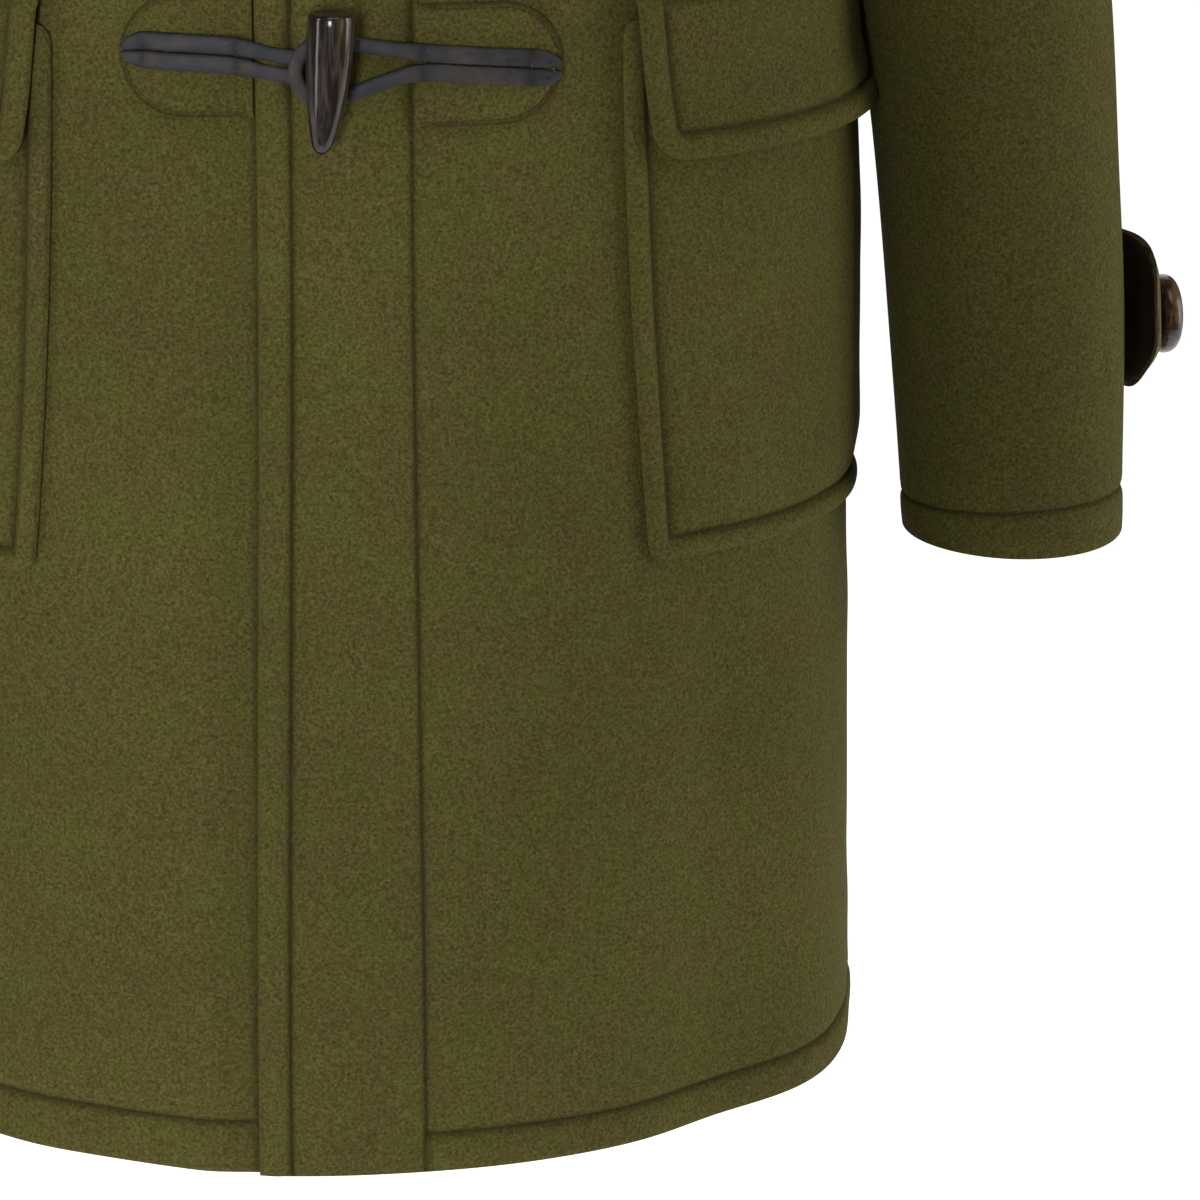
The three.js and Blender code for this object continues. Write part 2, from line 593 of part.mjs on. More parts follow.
// The pair ends in a half round turn, which reaches past the last row and lifts a little.
function thongPair(name, route, turn, centre, group) {
  const half = (sign) =>
    route.map(({ across, middle, apart, lift }) => ({ across, height: centre + middle + sign * apart, lift }));
  const end = route[route.length - 1];
  const round = [30, 60, 90, 120, 150].map((degrees) => ({
    across: end.across + turn.reach * Math.sin(rad(degrees)),
    height: centre + end.middle + end.apart * Math.cos(rad(degrees)),
    lift: end.lift + turn.lift * Math.sin(rad(degrees)),
  }));
  thong(name, [...half(1), ...round, ...half(-1).reverse()], group);
}

// A horn toggle: cut flat at its thick end and rounded at its thin one, which hangs down and leans in.
function toggle(name, centre, group) {
  const top = centre + TOGGLE.above;
  const rings = [
    { down: 0, width: 0.86 },
    { down: 0.02, width: 0.96 },
    { down: 0.06, width: 1 },
    { down: 0.3, width: 0.97 },
    { down: 0.55, width: 0.86 },
    { down: 0.76, width: 0.68 },
    { down: 0.9, width: 0.49 },
    { down: 0.97, width: 0.3 },
    { down: 1, width: 0.12 },
  ].map(({ down, width }) => {
    const radius = TOGGLE.radius * width;
    const height = top - TOGGLE.length * down;
    const across = lerp(1.4, -3.4, down ** 1.4);
    const middle = onFront(across, height, lerp(TOGGLE.lift, TOGGLE.tipLift, down));
    const rim = (turn) => new THREE.Vector3(radius * Math.cos(turn), radius * Math.sin(turn), 0);
    return along(0, 2 * Math.PI, TOGGLE.sides)
      .slice(0, -1)
      .map((turn) => rim(turn).add(middle));
  });
  bar(name, rings, HORN, group);
}

// Hood

// The hood's profile: how far out from the neck and how high off the coat. It stands up, rolls over, lies
// down to the foot of the bag and comes back to the rim. Towards the front it ends sooner.
function hoodProfile(angle) {
  const roll = hood.rollHeight(angle);
  const reach = hood.bagReach(angle);
  const depth = hood.bagDepth(angle);
  const low = HOOD_CLEARANCE;
  const rim = new THREE.Vector2(hood.rimReach(angle), hood.rimHeight(angle));
  const out = (share) => lerp(36, reach, share);
  const folded = [
    [-2.6, -2],
    [-1.6, roll * 0.5],
    [6, roll * 0.9],
    [18, roll],
    [30, roll * 0.84],
    [out(0.13), roll * 0.35 + low * 0.6],
    [out(0.5), low],
    [out(0.9), low + depth * 0.06],
    [reach, low + depth * 0.5],
    [out(0.9), low + depth * 0.95],
    [out(0.6), low + depth * 1.08],
    [lerp(out(0.3), rim.x, 0.4), lerp(low + depth, rim.y, 0.6)],
    [rim.x, rim.y],
  ];
  const points = folded.map(([x, y]) => new THREE.Vector3(x, y, 0));
  const curve = new THREE.CatmullRomCurve3(points, false, "centripetal");
  const end = lerp(1, 0.6, smooth(95, 150, angle));
  return along(0, end, ROWS.hood).map((share) => curve.getPoint(share));
}

// A walk over the body from the neckline, out and down in one upright plane.
function walkFromNeck(degrees) {
  const turn = Math.PI - rad(degrees);
  const heading = rad(hood.heading(degrees));
  const aside = new THREE.Vector3(Math.cos(heading), -Math.sin(heading), 0);
  const step = 2;
  const places = [{ turn, level: 0 }];
  let place = places[0];
  for (let i = 0; i < 160; i++) {
    const { round, up } = bodyTangents(place.turn, place.level);
    const drift = -up.dot(aside) / (round.dot(aside) || 1e-9);
    const way = up.clone().addScaledVector(round, drift);
    const down = -step / way.length();
    place = { turn: place.turn + drift * down, level: place.level + down };
    places.push(place);
  }
  return (out, lift) => {
    const i = Math.min(places.length - 2, Math.max(0, Math.floor(out / step)));
    const share = out / step - i;
    const at = {
      turn: lerp(places[i].turn, places[i + 1].turn, share),
      level: lerp(places[i].level, places[i + 1].level, share),
    };
    return bodyBase(at.turn, at.level).addScaledVector(bodyNormal(at.turn, at.level), lift);
  };
}

// One half of the hood, from the seam at the centre back to the front.
function hoodHalf(name, side, group) {
  const stations = along(HOOD_SEAM, HOOD_SPAN, COLUMNS.hood).map((degrees) => {
    const walk = walkFromNeck(degrees);
    return hoodProfile(degrees).map((place) => mirrored(side)(walk(place.x, place.y)));
  });
  const sheet = stations[0].map((_, i) => stations.map((station) => station[i]));
  const rows = sheet.length;
  const normalAt = (i, j) => {
    const [up, low] = [sheet[Math.min(i + 1, rows - 1)][j], sheet[Math.max(i - 1, 0)][j]];
    const [left, right] = [sheet[i][Math.max(j - 1, 0)], sheet[i][Math.min(j + 1, sheet[i].length - 1)]];
    const normal = up.clone().sub(low).cross(right.clone().sub(left));
    if (j === 0) normal.x = 0; // the two halves meet flat across the seam
    return normal.normalize();
  };
  const face = (lift) =>
    sheet.map((row, i) => row.map((point, j) => point.clone().addScaledVector(normalAt(i, j), lift)));
  wall(name, face(CLOTH / 2), face(-CLOTH / 2), WOOL, group);
}

// The coat

const coat = new THREE.Group();
front("front_left", 1, coat);
front("front_right", -1, coat);
back(coat);
for (const [word, side] of [["left", 1], ["right", -1]]) {
  sleeveTube(`sleeve_${word}`, side, coat);
  cuffTab(`cuff_tab_${word}`, side, coat);
  button(`cuff_button_${word}`, side, coat);
  pocket(`pocket_${word}`, side, coat);
  pocketFlap(`pocket_flap_${word}`, side, coat);
  hoodHalf(`hood_${word}`, side, coat);
}
TOGGLE_HEIGHTS.forEach((centre, i) => {
  fasteningPatch(`patch_left_${i + 1}`, 1, centre, coat);
  fasteningPatch(`patch_right_${i + 1}`, -1, centre + 4.5, coat);
  thongPair(`loop_thong_${i + 1}`, LOOP_ROUTE, LOOP_TURN, centre, coat);
  thongPair(`toggle_thong_${i + 1}`, HOLDER_ROUTE, HOLDER_TURN, centre, coat);
  toggle(`toggle_${i + 1}`, centre, coat);
});

export default coat;
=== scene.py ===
"""A duffle coat in heavy olive wool, in the shape that it has when worn, with nobody in it.

The coat is modelled in millimetres on its cut and written to the meshes in metres. The front faces -Y and
the wearer's left is +X. Every sheet of cloth is a closed shell with rounded edges and sewn grooves.
"""

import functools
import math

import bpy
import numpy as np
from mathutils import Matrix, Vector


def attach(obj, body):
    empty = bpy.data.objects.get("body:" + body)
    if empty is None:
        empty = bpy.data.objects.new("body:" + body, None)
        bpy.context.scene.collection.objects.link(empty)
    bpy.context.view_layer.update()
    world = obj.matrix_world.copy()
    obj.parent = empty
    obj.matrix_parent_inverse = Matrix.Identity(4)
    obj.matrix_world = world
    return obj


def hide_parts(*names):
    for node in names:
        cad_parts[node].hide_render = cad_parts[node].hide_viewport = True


bl_info = {
    "name": "Duffle coat",
    "version": (1, 0, 0),
    "blender": (4, 5, 0),
    "location": "3D View > Sidebar > Coat",
    "description": "A wool duffle coat with horn toggles, patch pockets, a hood and buttoned cuff tabs",
    "category": "Object",
}

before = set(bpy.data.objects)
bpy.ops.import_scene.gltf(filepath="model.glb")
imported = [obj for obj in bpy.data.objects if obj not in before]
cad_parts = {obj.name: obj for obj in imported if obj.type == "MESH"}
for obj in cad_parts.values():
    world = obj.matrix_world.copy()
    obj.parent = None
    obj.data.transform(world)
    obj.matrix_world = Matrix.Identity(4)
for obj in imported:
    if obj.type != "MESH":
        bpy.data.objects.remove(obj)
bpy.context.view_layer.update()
BODY_NAME = "root"
MM = 0.001


def table(names, rows):
    """A table of numbers as named columns."""
    return dict(zip(names.split(), np.array(rows, float).T))


# The cut, in millimetres
SEAM_GAP = 0.4
LAYER_GAP = 0.8
HEM_LEVEL = -956.2
UNDERARM_LEVEL = -285.0
SHOULDER_LEVEL = -55.0
HEM_SWING = {"rise": 4.0, "starts": 0.1, "full": 0.5, "top": -700.0}
OVERLAP = {"top": 31.7, "bottom": 38.0}
UNDERLAP = 36.0
STRIP_EDGE = {"top": 36.0, "bottom": 39.6}
SIDE_SEAM = {"hem": 104.0, "underarm": 92.0, "shoulder": 90.0}
ARMHOLE = {"front": 30.0, "back": 28.0}
DIP = 3.7
POCKET = {"front": 129.5, "front_low": 145.5, "curve": 1.7, "width": 212.0, "top": -430.0,
          "bottom": -679.0, "corner": 8.0, "top_corner": 8.0, "rows": 56, "belly": 3.0,
          "flat": (0.212, 0.249)}
FLAP = {"front": 132.0, "front_low": 141.0, "curve": 1.0, "width": 206.0, "top": -411.0,
        "bottom": -492.5, "corner": 15.0, "top_corner": 0, "rows": 22, "thickness": 2.8, "flare": 4.5,
        "seam": 6.0, "seam_depth": 1.0, "flat": (0.206, 0.085)}
POCKET_SHIFT = {1: 0.0, -1: -9.3}
PATCH = {"thickness": 1.8, "height": 54.0, "left_reach": 102.0, "right_reach": 90.0, "drop": 4.5}
THONG = {"width": 7.8, "thickness": 3.0, "gap": 0.5}
TOGGLE = {"length": 62.0, "radius": 10.0, "above": 26.0, "lift": 16.4, "tip_lift": 12.8}
TOGGLE_HEIGHTS = (-446.0, -296.0, -146.0)
CUFF_TAB = {"width": 74.0, "length": 118.0, "centre": -601.0, "thickness": 3.0, "stand_off": 12.5,
            "root": 196.0, "end": 76.0}
BUTTON = {"radius": 18.5, "thickness": 9.2, "seat": 0.83}

# The body's sections, from the hem to the neck
BODY = table("level half_width front_depth back_depth front_drop back_rise square", [
    (-956.2, 256.5, 176, 167, -7.5, -5, 0.02),
    (-800, 251, 169, 160, 0, 0, 0.03),
    (-680, 246, 163, 155, 0, 0, 0.04),
    (-520, 242, 158, 150, 0, 0, 0.05),
    (-450, 237, 156, 147, 0, 0, 0.06),
    (-380, 232, 154, 145, 0, 0, 0.08),
    (-290, 226, 151, 144, 0, 0, 0.1),
    (-200, 218, 144, 141, -8, 8, 0.12),
    (-120, 211, 130, 135, -30, 18, 0.14),
    (-55, 202, 112, 120, -62, 23, 0.1),
    (-36, 162, 106, 105, -69, 24, 0.06),
    (-19, 122, 100, 86, -74, 22, 0.03),
    (-7, 97, 95, 72, -77, 17, 0),
    (0, 84, 92, 64, -78, 14, 0),
])

# Upright folds in the skirt: the place and half width in degrees, the depth, and the levels of growth
FOLDS = table("angle spread depth starts full", [
    (43, 9, -4.8, -600, -780),
    (62, 10, 4.2, -670, -830),
    (84, 8, -2.5, -720, -880),
    (-43, 8, -4, -640, -800),
    (-66, 9, 4, -690, -850),
    (124, 8, 5, -600, -820),
    (140, 8, -6, -460, -760),
    (160, 9, 5, -430, -780),
    (181, 8, -4, -400, -700),
    (203, 9, 5.5, -480, -800),
    (222, 8, -6, -440, -760),
    (240, 9, 4, -610, -840),
])

# Softer creases: the middle, the half length up and half width round in millimetres, the depth, and
# how far the crease leans, in degrees
CREASES = table("angle level long wide depth lean", [
    (31, -735, 70, 14, -1.3, 6),
    (48, -700, 90, 16, 0.9, -4),
    (70, -560, 80, 12, -0.9, 8),
    (80, -330, 60, 9, -1.6, 24),
    (74, -365, 55, 9, 1.2, 26),
    (-79, -325, 60, 9, -1.5, -22),
    (-73, -372, 50, 9, 1.1, -25),
    (-33, -620, 85, 15, -0.8, -5),
    (-57, -780, 80, 13, 1.0, 4),
    (104, -335, 55, 9, -1.6, -26),
    (112, -380, 60, 10, 1.2, -24),
    (256, -338, 55, 9, -1.5, 25),
    (247, -385, 60, 10, 1.3, 24),
    (150, -560, 110, 14, -1.4, -7),
    (171, -640, 120, 15, 1.2, 5),
    (196, -600, 110, 13, -1.3, -4),
    (214, -540, 90, 14, 1.1, 8),
    (230, -700, 90, 13, -1.2, 5),
    (132, -690, 80, 12, 1.1, -6),
    (180, -300, 70, 22, 0.9, 2),
])

# The left sleeve's sections, from the armhole to the cuff
SLEEVE = table("along outer_x outer_z inner_x inner_z half_depth centre_y", [
    (0, 202, -55, 227, -285, 74, 1),
    (0.08, 236, -64, 231.5, -309, 80, 0),
    (0.16, 266, -88, 235, -336, 81, 0),
    (0.25, 293, -132, 238.5, -363, 80, -1),
    (0.34, 316, -195, 240.5, -393, 78, -3),
    (0.44, 335, -270, 242.2, -422, 75, -5),
    (0.54, 350, -350, 246, -452, 71, -7),
    (0.65, 363, -440, 254, -508, 66, -9),
    (0.76, 370, -524, 260.5, -568, 62, -11),
    (0.87, 376, -602, 266.5, -626, 59, -13),
    (1, 379, -702, 273.5, -702, 55, -15),
])

# Creases in a sleeve: the middle round and down it, the half widths there, the depth and the slant
SLEEVE_CREASES = table("turn share round_width down_width depth slant", [
    (-62, 0.20, 34, 0.016, -2.2, 0.05),
    (-58, 0.26, 38, 0.016, 1.6, 0.05),
    (-70, 0.47, 36, 0.018, -1.7, 0.04),
    (-60, 0.53, 40, 0.018, 1.5, 0.05),
    (-66, 0.59, 34, 0.016, -1.5, 0.05),
    (235, 0.22, 34, 0.016, -2.2, -0.05),
    (228, 0.29, 38, 0.018, 1.6, -0.05),
    (226, 0.50, 42, 0.018, -2.0, -0.06),
    (220, 0.57, 40, 0.018, 1.7, -0.05),
    (218, 0.64, 34, 0.016, -1.5, -0.05),
    (30, 0.36, 40, 0.05, -0.8, 0.03),
    (110, 0.44, 44, 0.05, -0.9, -0.03),
    (20, 0.78, 26, 0.07, 0.8, 0.02),
])

# The hood round the neck, in degrees from the centre back
HOOD_SPAN = 178.6
HOOD_SEAM = 0.15
HOOD_CLEARANCE = 13.3
HOOD = table("angle heading roll_height bag_reach bag_depth rim_reach rim_height", [
    (0, 0, 50, 285, 44, 72, 62),
    (30, 17, 50, 256, 42, 69, 60),
    (60, 38, 48, 168, 34, 58, 52),
    (90, 72, 44, 98, 24, 47, 42),
    (120, 106, 38, 78, 16, 44, 30),
    (150, 138, 30, 62, 10, 48, 22),
    (179, 168, 20, 42, 8, 38, 16),
])

# Creases in the hood: the middle round the neck and along the profile, the half widths and the depth
HOOD_CREASES = table("angle share round_width down_width depth slant", [
    (26, 0.34, 7, 0.12, -2.6, 20),
    (44, 0.40, 7, 0.10, 2.2, 30),
    (61, 0.30, 6, 0.12, -1.8, 20),
    (16, 0.70, 9, 0.09, -2.2, -30),
    (38, 0.74, 8, 0.08, 1.8, -30),
    (84, 0.36, 8, 0.12, 1.4, 20),
    (112, 0.36, 7, 0.14, -1.3, 10),
])

# The thongs' routes, from the tail to the turn, against the fastening's centre
ON_PATCH = LAYER_GAP * 2 + PATCH["thickness"] + THONG["thickness"] / 2
ON_CLOTH = LAYER_GAP + THONG["thickness"] / 2
PAIR = (THONG["width"] + THONG["gap"]) / 2
LOOP_ROUTE = table("across middle apart lift", [
    (100.5, -3, PAIR * 0.3, ON_PATCH),
    (97.5, -3, PAIR * 0.78, ON_PATCH),
    (92, -2.4, PAIR, ON_PATCH),
    (80, -1.2, PAIR, ON_PATCH),
    (60, 0.4, PAIR, ON_PATCH),
    (44, 1.8, PAIR, ON_PATCH),
    (33, 1.8, PAIR + 1.2, ON_PATCH - 0.6),
    (20, 0.6, PAIR + 4, ON_CLOTH + 0.6),
    (8, -0.8, PAIR + 7.2, ON_CLOTH + 0.4),
    (-3, -1, PAIR + 7.6, ON_CLOTH + 1.8),
])
HOLDER_ROUTE = table("across middle apart lift", [
    (-88.5, 6.4, PAIR * 0.2, ON_PATCH),
    (-85, 6.9, PAIR * 0.66, ON_PATCH),
    (-79, 7.2, PAIR, ON_PATCH),
    (-70, 6.6, PAIR, ON_PATCH),
    (-54, 6, PAIR, ON_PATCH - 0.6),
    (-40, 5, PAIR, ON_PATCH - 1.2),
    (-30, 3, PAIR, ON_CLOTH + 0.6),
    (-18, 0.6, PAIR, ON_CLOTH),
    (-6, -1, PAIR + 1, ON_CLOTH + 0.2),
])
LOOP_TURN = {"reach": -11.0, "lift": 3.4}
HOLDER_TURN = {"reach": 5.5, "lift": 0.4}
LOOP_BARS = (87.0, 41.0)
HOLDER_BARS = (-80.0, -39.0)

# A toggle's half width down its length
TOGGLE_FORM = table("down width", [
    (0, 0.9), (0.02, 0.96), (0.06, 1), (0.3, 0.97), (0.55, 0.86), (0.76, 0.68), (0.9, 0.49),
    (0.97, 0.3), (1, 0.05),
])

# A stitch's height and thickness down its length, as shares of its thread's radius
STITCH_SIDES = 4
STITCH_FORM = table("share height size", [
    (0.0, -0.55, 0.35), (0.22, 0.16, 0.95), (0.5, 0.42, 1.0), (0.78, 0.16, 0.95), (1.0, -0.55, 0.35),
])

# The photograph's camera, in metres and degrees
CAMERA = {"place": (0.0, -2.070, -0.037), "aim": (0.118, -0.170, -0.685), "roll": 0.45,
          "lens": 135.33, "sensor": 36.0, "sees_to": 60.0}

# The floor, in millimetres: its level, how far it reaches to the sides and back, and its front edge
FLOOR = {"level": -1480.0, "reach": 2600.0, "front": -900.0, "points": 9}

# The studio's light: the air's strengths, and each lamp's place, size, power, aim and beam in degrees
AIR = {"light": 0.04, "seen": 1.05}
LAMPS = (
    ("left_spot", (-0.35, -1.5, -0.5), (0.25, 1.5), 1.5, (-0.08, -0.15, -0.54), 34),
    ("left_strip", (-2.1, -1.25, -0.3), (0.35, 2.6), 8, (0, 0, -0.5), 120),
    ("right_box", (1.9, -0.5, -0.3), (0.7, 1.8), 9, (0, 0, -0.55), 120),
    ("right_edge", (1.9, 0.35, -0.6), (0.5, 1.6), 2.5, (0.1, 0, -0.7), 120),
    ("top_box", (0, -1.3, 1.9), (1.6, 1.2), 6.5, (0, 0, -0.5), 120),
    ("back_box", (0.2, 2.4, 0.3), (1.8, 1.8), 12, (0, 0, -0.4), 150),
)


def linear(hex_colour):
    """An sRGB hex colour as linear red, green and blue."""
    parts = [int(hex_colour[i:i + 2], 16) / 255 for i in (1, 3, 5)]
    return tuple(p / 12.92 if p <= 0.04045 else ((p + 0.055) / 1.055) ** 2.4 for p in parts)


def length_property(name, description, millimetres):
    """A length that is given in millimetres and kept in metres."""
    return bpy.props.FloatProperty(
        name=name, description=description, default=millimetres * MM, min=0, unit="LENGTH", precision=4)


def colour_property(name, description, hex_colour):
    """A colour from an sRGB hex value."""
    return bpy.props.FloatVectorProperty(
        name=name, description=description, default=linear(hex_colour), min=0, max=1, subtype="COLOR")


class CoatSizes(bpy.types.PropertyGroup):
    """Sizes of the cloth and its sewing."""

    cloth: length_property("Cloth", "Thickness of the wool", 3.0)
    band: length_property("Front band", "Width of the stitched band at the front edge", 15.0)
    pocket_border: length_property("Pocket border", "From a pocket's edge to its stitching", 11.0)
    flap_border: length_property("Flap border", "From a flap's edge to its stitching", 12.0)
    hem_left: length_property("Left hem", "Depth of the left front's hem", 18.0)
    hem_right: length_property("Right hem", "Depth of the right front's hem", 24.0)
    hem_back: length_property("Back hem", "Depth of the back's hem", 20.0)
    cuff_hem: length_property("Cuff hem", "Depth of the sleeves' hems", 20.0)
    stitch: length_property("Stitch", "From one stitch to the next", 3.6)
    puff: length_property("Puff", "How far a stitched border swells", 1.9)
    groove: length_property("Groove", "How deep a line of stitching sinks", 1.7)
    folds: bpy.props.FloatProperty(
        name="Folds", description="Depth of the folds and creases, as a share", default=1, min=0, max=1.5)


class CoatColours(bpy.types.PropertyGroup):
    """Colours of the coat's finishes."""

    wool: colour_property("Wool", "The melton's main colour", "#48431f")
    wool_dark: colour_property("Dark fibres", "The melton's darkest fibres", "#24210b")
    wool_light: colour_property("Light fibres", "The melton's lightest fibres", "#6e693b")
    thread: colour_property("Thread", "The sewing thread", "#37331a")
    thong: colour_property("Thong", "The waxed leather thong", "#232327")
    horn: colour_property("Horn", "The toggles' dark horn", "#211b19")
    horn_streak: colour_property("Horn streak", "The red-brown streaks in the horn", "#3a2b1b")
    horn_pale: colour_property("Pale horn", "The pale flecks in the horn", "#6f5f40")
    tab: colour_property("Tab", "The cuff tabs' leather", "#443224")
    tab_edge: colour_property("Tab edge", "The cut edge of the cuff tabs", "#6f6846")
    button: colour_property("Button", "The cuff buttons' horn", "#2c2417")
    floor: colour_property("Floor", "The studio's floor", "#f4f4f2")


def millimetres(name):
    """One of the coat's sizes in millimetres."""
    return getattr(bpy.context.scene.coat_sizes, name) / MM


def colour(name):
    """One of the coat's colours as linear RGBA."""
    return (*getattr(bpy.context.scene.coat_colours, name), 1.0)


# Curves and small formulas


def smooth(low, high, value):
    """A soft step from 0 at low to 1 at high."""
    t = np.clip((value - low) / (high - low), 0, 1)
    return t * t * (3 - 2 * t)


def lerp(a, b, share):
    """The value a share of the way from a to b."""
    return a + (b - a) * share


def curve(rows, key, name):
    """A smooth curve through a table's column, straight on past both ends."""
    x, y = rows[key], rows[name]
    slope = np.gradient(y, x)
    slope[1:-1] = (y[2:] - y[:-2]) / (x[2:] - x[:-2])

    def at(value):
        value = np.asarray(value, float)
        i = np.clip(np.searchsorted(x, value, side="right") - 1, 0, len(x) - 2)
        width = x[i + 1] - x[i]
        u = (value - x[i]) / width
        inside = (
            y[i] * (2 * u**3 - 3 * u**2 + 1) + slope[i] * width * (u**3 - 2 * u**2 + u)
            + y[i + 1] * (3 * u**2 - 2 * u**3) + slope[i + 1] * width * (u**3 - u**2)
        )
        before = y[0] + slope[0] * (value - x[0])
        after = y[-1] + slope[-1] * (value - x[-1])
        return np.where(value <= x[0], before, np.where(value >= x[-1], after, inside))

    return at


def curves(rows, key):
    """Curves through all of a table's columns against one of them."""
    return {name: curve(rows, key, name) for name in rows if name != key}


BODY_AT = curves(BODY, "level")
SLEEVE_AT = curves(SLEEVE, "along")
HOOD_AT = curves(HOOD, "angle")


def unit(vectors):
    """Vectors of the same direction and length 1."""
    return vectors / np.maximum(np.linalg.norm(vectors, axis=-1, keepdims=True), 1e-12)


def stops(*runs):
    """Places from several runs in one rising list, with none doubled."""
    return np.unique(np.round(np.concatenate([np.atleast_1d(run) for run in runs]), 4))


def edge_stops(radius):
    """Distances from an edge that draw its rounding."""
    return radius * (1 - np.cos(np.radians([0, 24, 46, 68, 90])))


def groove_stops(at):
    """Distances that draw a groove."""
    return at + np.array([-3.0, -1.9, -1.1, -0.5, 0, 0.5, 1.1, 1.9, 3.0])


def edge_sink(distance, radius):
    """How far a face sinks near a rounded edge."""
    t = np.clip(distance / radius, 0, 1)
    return radius * (1 - np.sqrt(np.maximum(0, 1 - (1 - t) ** 2)))


def groove(distance, depth, half_width=2.1):
    """The dip along a line of stitching."""
    return -depth * np.exp(-((distance / half_width) ** 2))


def puffed(distance, width, height):
    """A swelling between an edge and a line of stitching."""
    return height * np.sin(np.pi * np.clip(distance / width, 0, 1)) ** 0.55


def uneven(x, y, size, seed):
    """A gentle unevenness from -1 to 1, the same for the same seed."""
    rng = np.random.default_rng(seed)
    total = 0
    for _ in range(7):
        turn = rng.uniform(0, 2 * np.pi)
        wave = size * rng.uniform(0.6, 1.8)
        phase = rng.uniform(0, 2 * np.pi)
        total = total + np.sin((x * np.cos(turn) + y * np.sin(turn)) * 2 * np.pi / wave + phase)
    return total / 4


def spline(points, shares):
    """Points on centripetal Catmull-Rom curves through points of shape (..., count, 3)."""
    points = np.asarray(points, float)
    first = 2 * points[..., :1, :] - points[..., 1:2, :]
    last = 2 * points[..., -1:, :] - points[..., -2:-1, :]
    padded = np.concatenate([first, points, last], axis=-2)
    count = points.shape[-2]
    place = np.asarray(shares) * (count - 1)
    i = np.clip(np.floor(place).astype(int), 0, count - 2)
    t = (place - i)[:, None]
    p0, p1, p2, p3 = (padded[..., i + k, :] for k in range(4))
    d0, d1, d2 = (
        np.maximum(np.linalg.norm(b - a, axis=-1, keepdims=True), 1e-6) ** 0.5
        for a, b in ((p0, p1), (p1, p2), (p2, p3))
    )
    m1 = ((p1 - p0) / d0 - (p2 - p0) / (d0 + d1) + (p2 - p1) / d1) * d1
    m2 = ((p2 - p1) / d1 - (p3 - p1) / (d1 + d2) + (p3 - p2) / d2) * d1
    return p1 + m1 * t + (-3 * p1 + 3 * p2 - 2 * m1 - m2) * t**2 + (2 * p1 - 2 * p2 + m1 + m2) * t**3


# The body's surface


def body_base(angle, level):
    """A point of the plain body. The angle is in radians round from the centre front."""
    s, c = np.sin(angle), np.cos(angle)
    square = BODY_AT["square"](level)
    front = c > 0
    depth = np.where(front, BODY_AT["front_depth"](level), BODY_AT["back_depth"](level))
    climb = np.where(front, BODY_AT["front_drop"](level), BODY_AT["back_rise"](level))
    swing = HEM_SWING["rise"] * smooth(HEM_SWING["starts"], HEM_SWING["full"], -s)
    swing = swing * smooth(HEM_SWING["top"], HEM_LEVEL, level)
    x = BODY_AT["half_width"](level) * s * (1 + square * c * c)
    y = -depth * c * (1 + square * s * s)
    return np.stack([x, y, level + climb * np.abs(c) ** 1.6 + swing], -1)


def body_tangents(angle, level):
    """The ways round and up the plain body."""
    step = 1e-3
    around = (body_base(angle + step, level) - body_base(angle - step, level)) / (2 * step)
    up = body_base(angle, level + 0.5) - body_base(angle, level - 0.5)
    return around, up


def body_normal(angle, level):
    """The way out of the plain body."""
    around, up = body_tangents(angle, level)
    return unit(np.cross(around, up))


def angle_off(degrees, middle):
    """Degrees from a middle, from -180 to 180."""
    return (degrees - middle + 180) % 360 - 180


def drape(angle, level):
    """The folds, creases and unevenness of the hanging cloth."""
    degrees = np.degrees(angle)
    total = 0.45 * uneven(degrees * 3.4, level, 150, 11) + 0.25 * uneven(degrees * 3.4, level, 60, 12)
    for middle, spread, depth, starts, full in zip(*FOLDS.values()):
        grown = smooth(starts, full, level)
        total = total + depth * grown * np.exp(-((angle_off(degrees, middle) / spread) ** 2))
    per_degree = 3.6
    for middle, height, long, wide, depth, lean in zip(*CREASES.values()):
        x = angle_off(degrees, middle) * per_degree
        y = level - height
        s, c = math.sin(math.radians(lean)), math.cos(math.radians(lean))
        across, up = x * c - y * s, x * s + y * c
        total = total + depth * np.exp(-((across / wide) ** 2) - (up / long) ** 2)
    return total * bpy.context.scene.coat_sizes.folds


def on_body(angle, level, lift=0.0):
    """A point of the coat's body, lifted off the outer face of the cloth."""
    out = np.asarray(lift + drape(angle, level))[..., None]
    return body_base(angle, level) + body_normal(angle, level) * out


def round_speed(angle, level):
    """How fast the cloth runs round the body with the angle, seen from above."""
    s, c = np.sin(angle), np.cos(angle)
    square = BODY_AT["square"](level)
    depth = np.where(c > 0, BODY_AT["front_depth"](level), BODY_AT["back_depth"](level))
    x = BODY_AT["half_width"](level) * c * (1 + square * (c * c - 2 * s * s))
    y = depth * s * (1 + square * (s * s - 2 * c * c))
    return np.hypot(x, y)


def angle_across(across, level):
    """The angle at a distance across the cloth from the centre front."""
    across, level = np.broadcast_arrays(np.asarray(across, float), level)
    steps = 12
    angle = across / BODY_AT["half_width"](level)
    for _ in range(4):
        length = sum(round_speed(angle * (i + 0.5) / steps, level) for i in range(steps)) * angle / steps
        angle = angle + (across - length) / round_speed(angle, level)
    return angle


def on_front(across, height, lift=0.0):
    """A point of the cloth at a distance across and a height, lifted off it."""
    across, height = np.broadcast_arrays(np.asarray(across, float), np.asarray(height, float))
    level = height
    for _ in range(5):
        angle = angle_across(across, level)
        level = level + height - body_base(angle, level)[..., 2]
    return on_body(angle, level, lift)


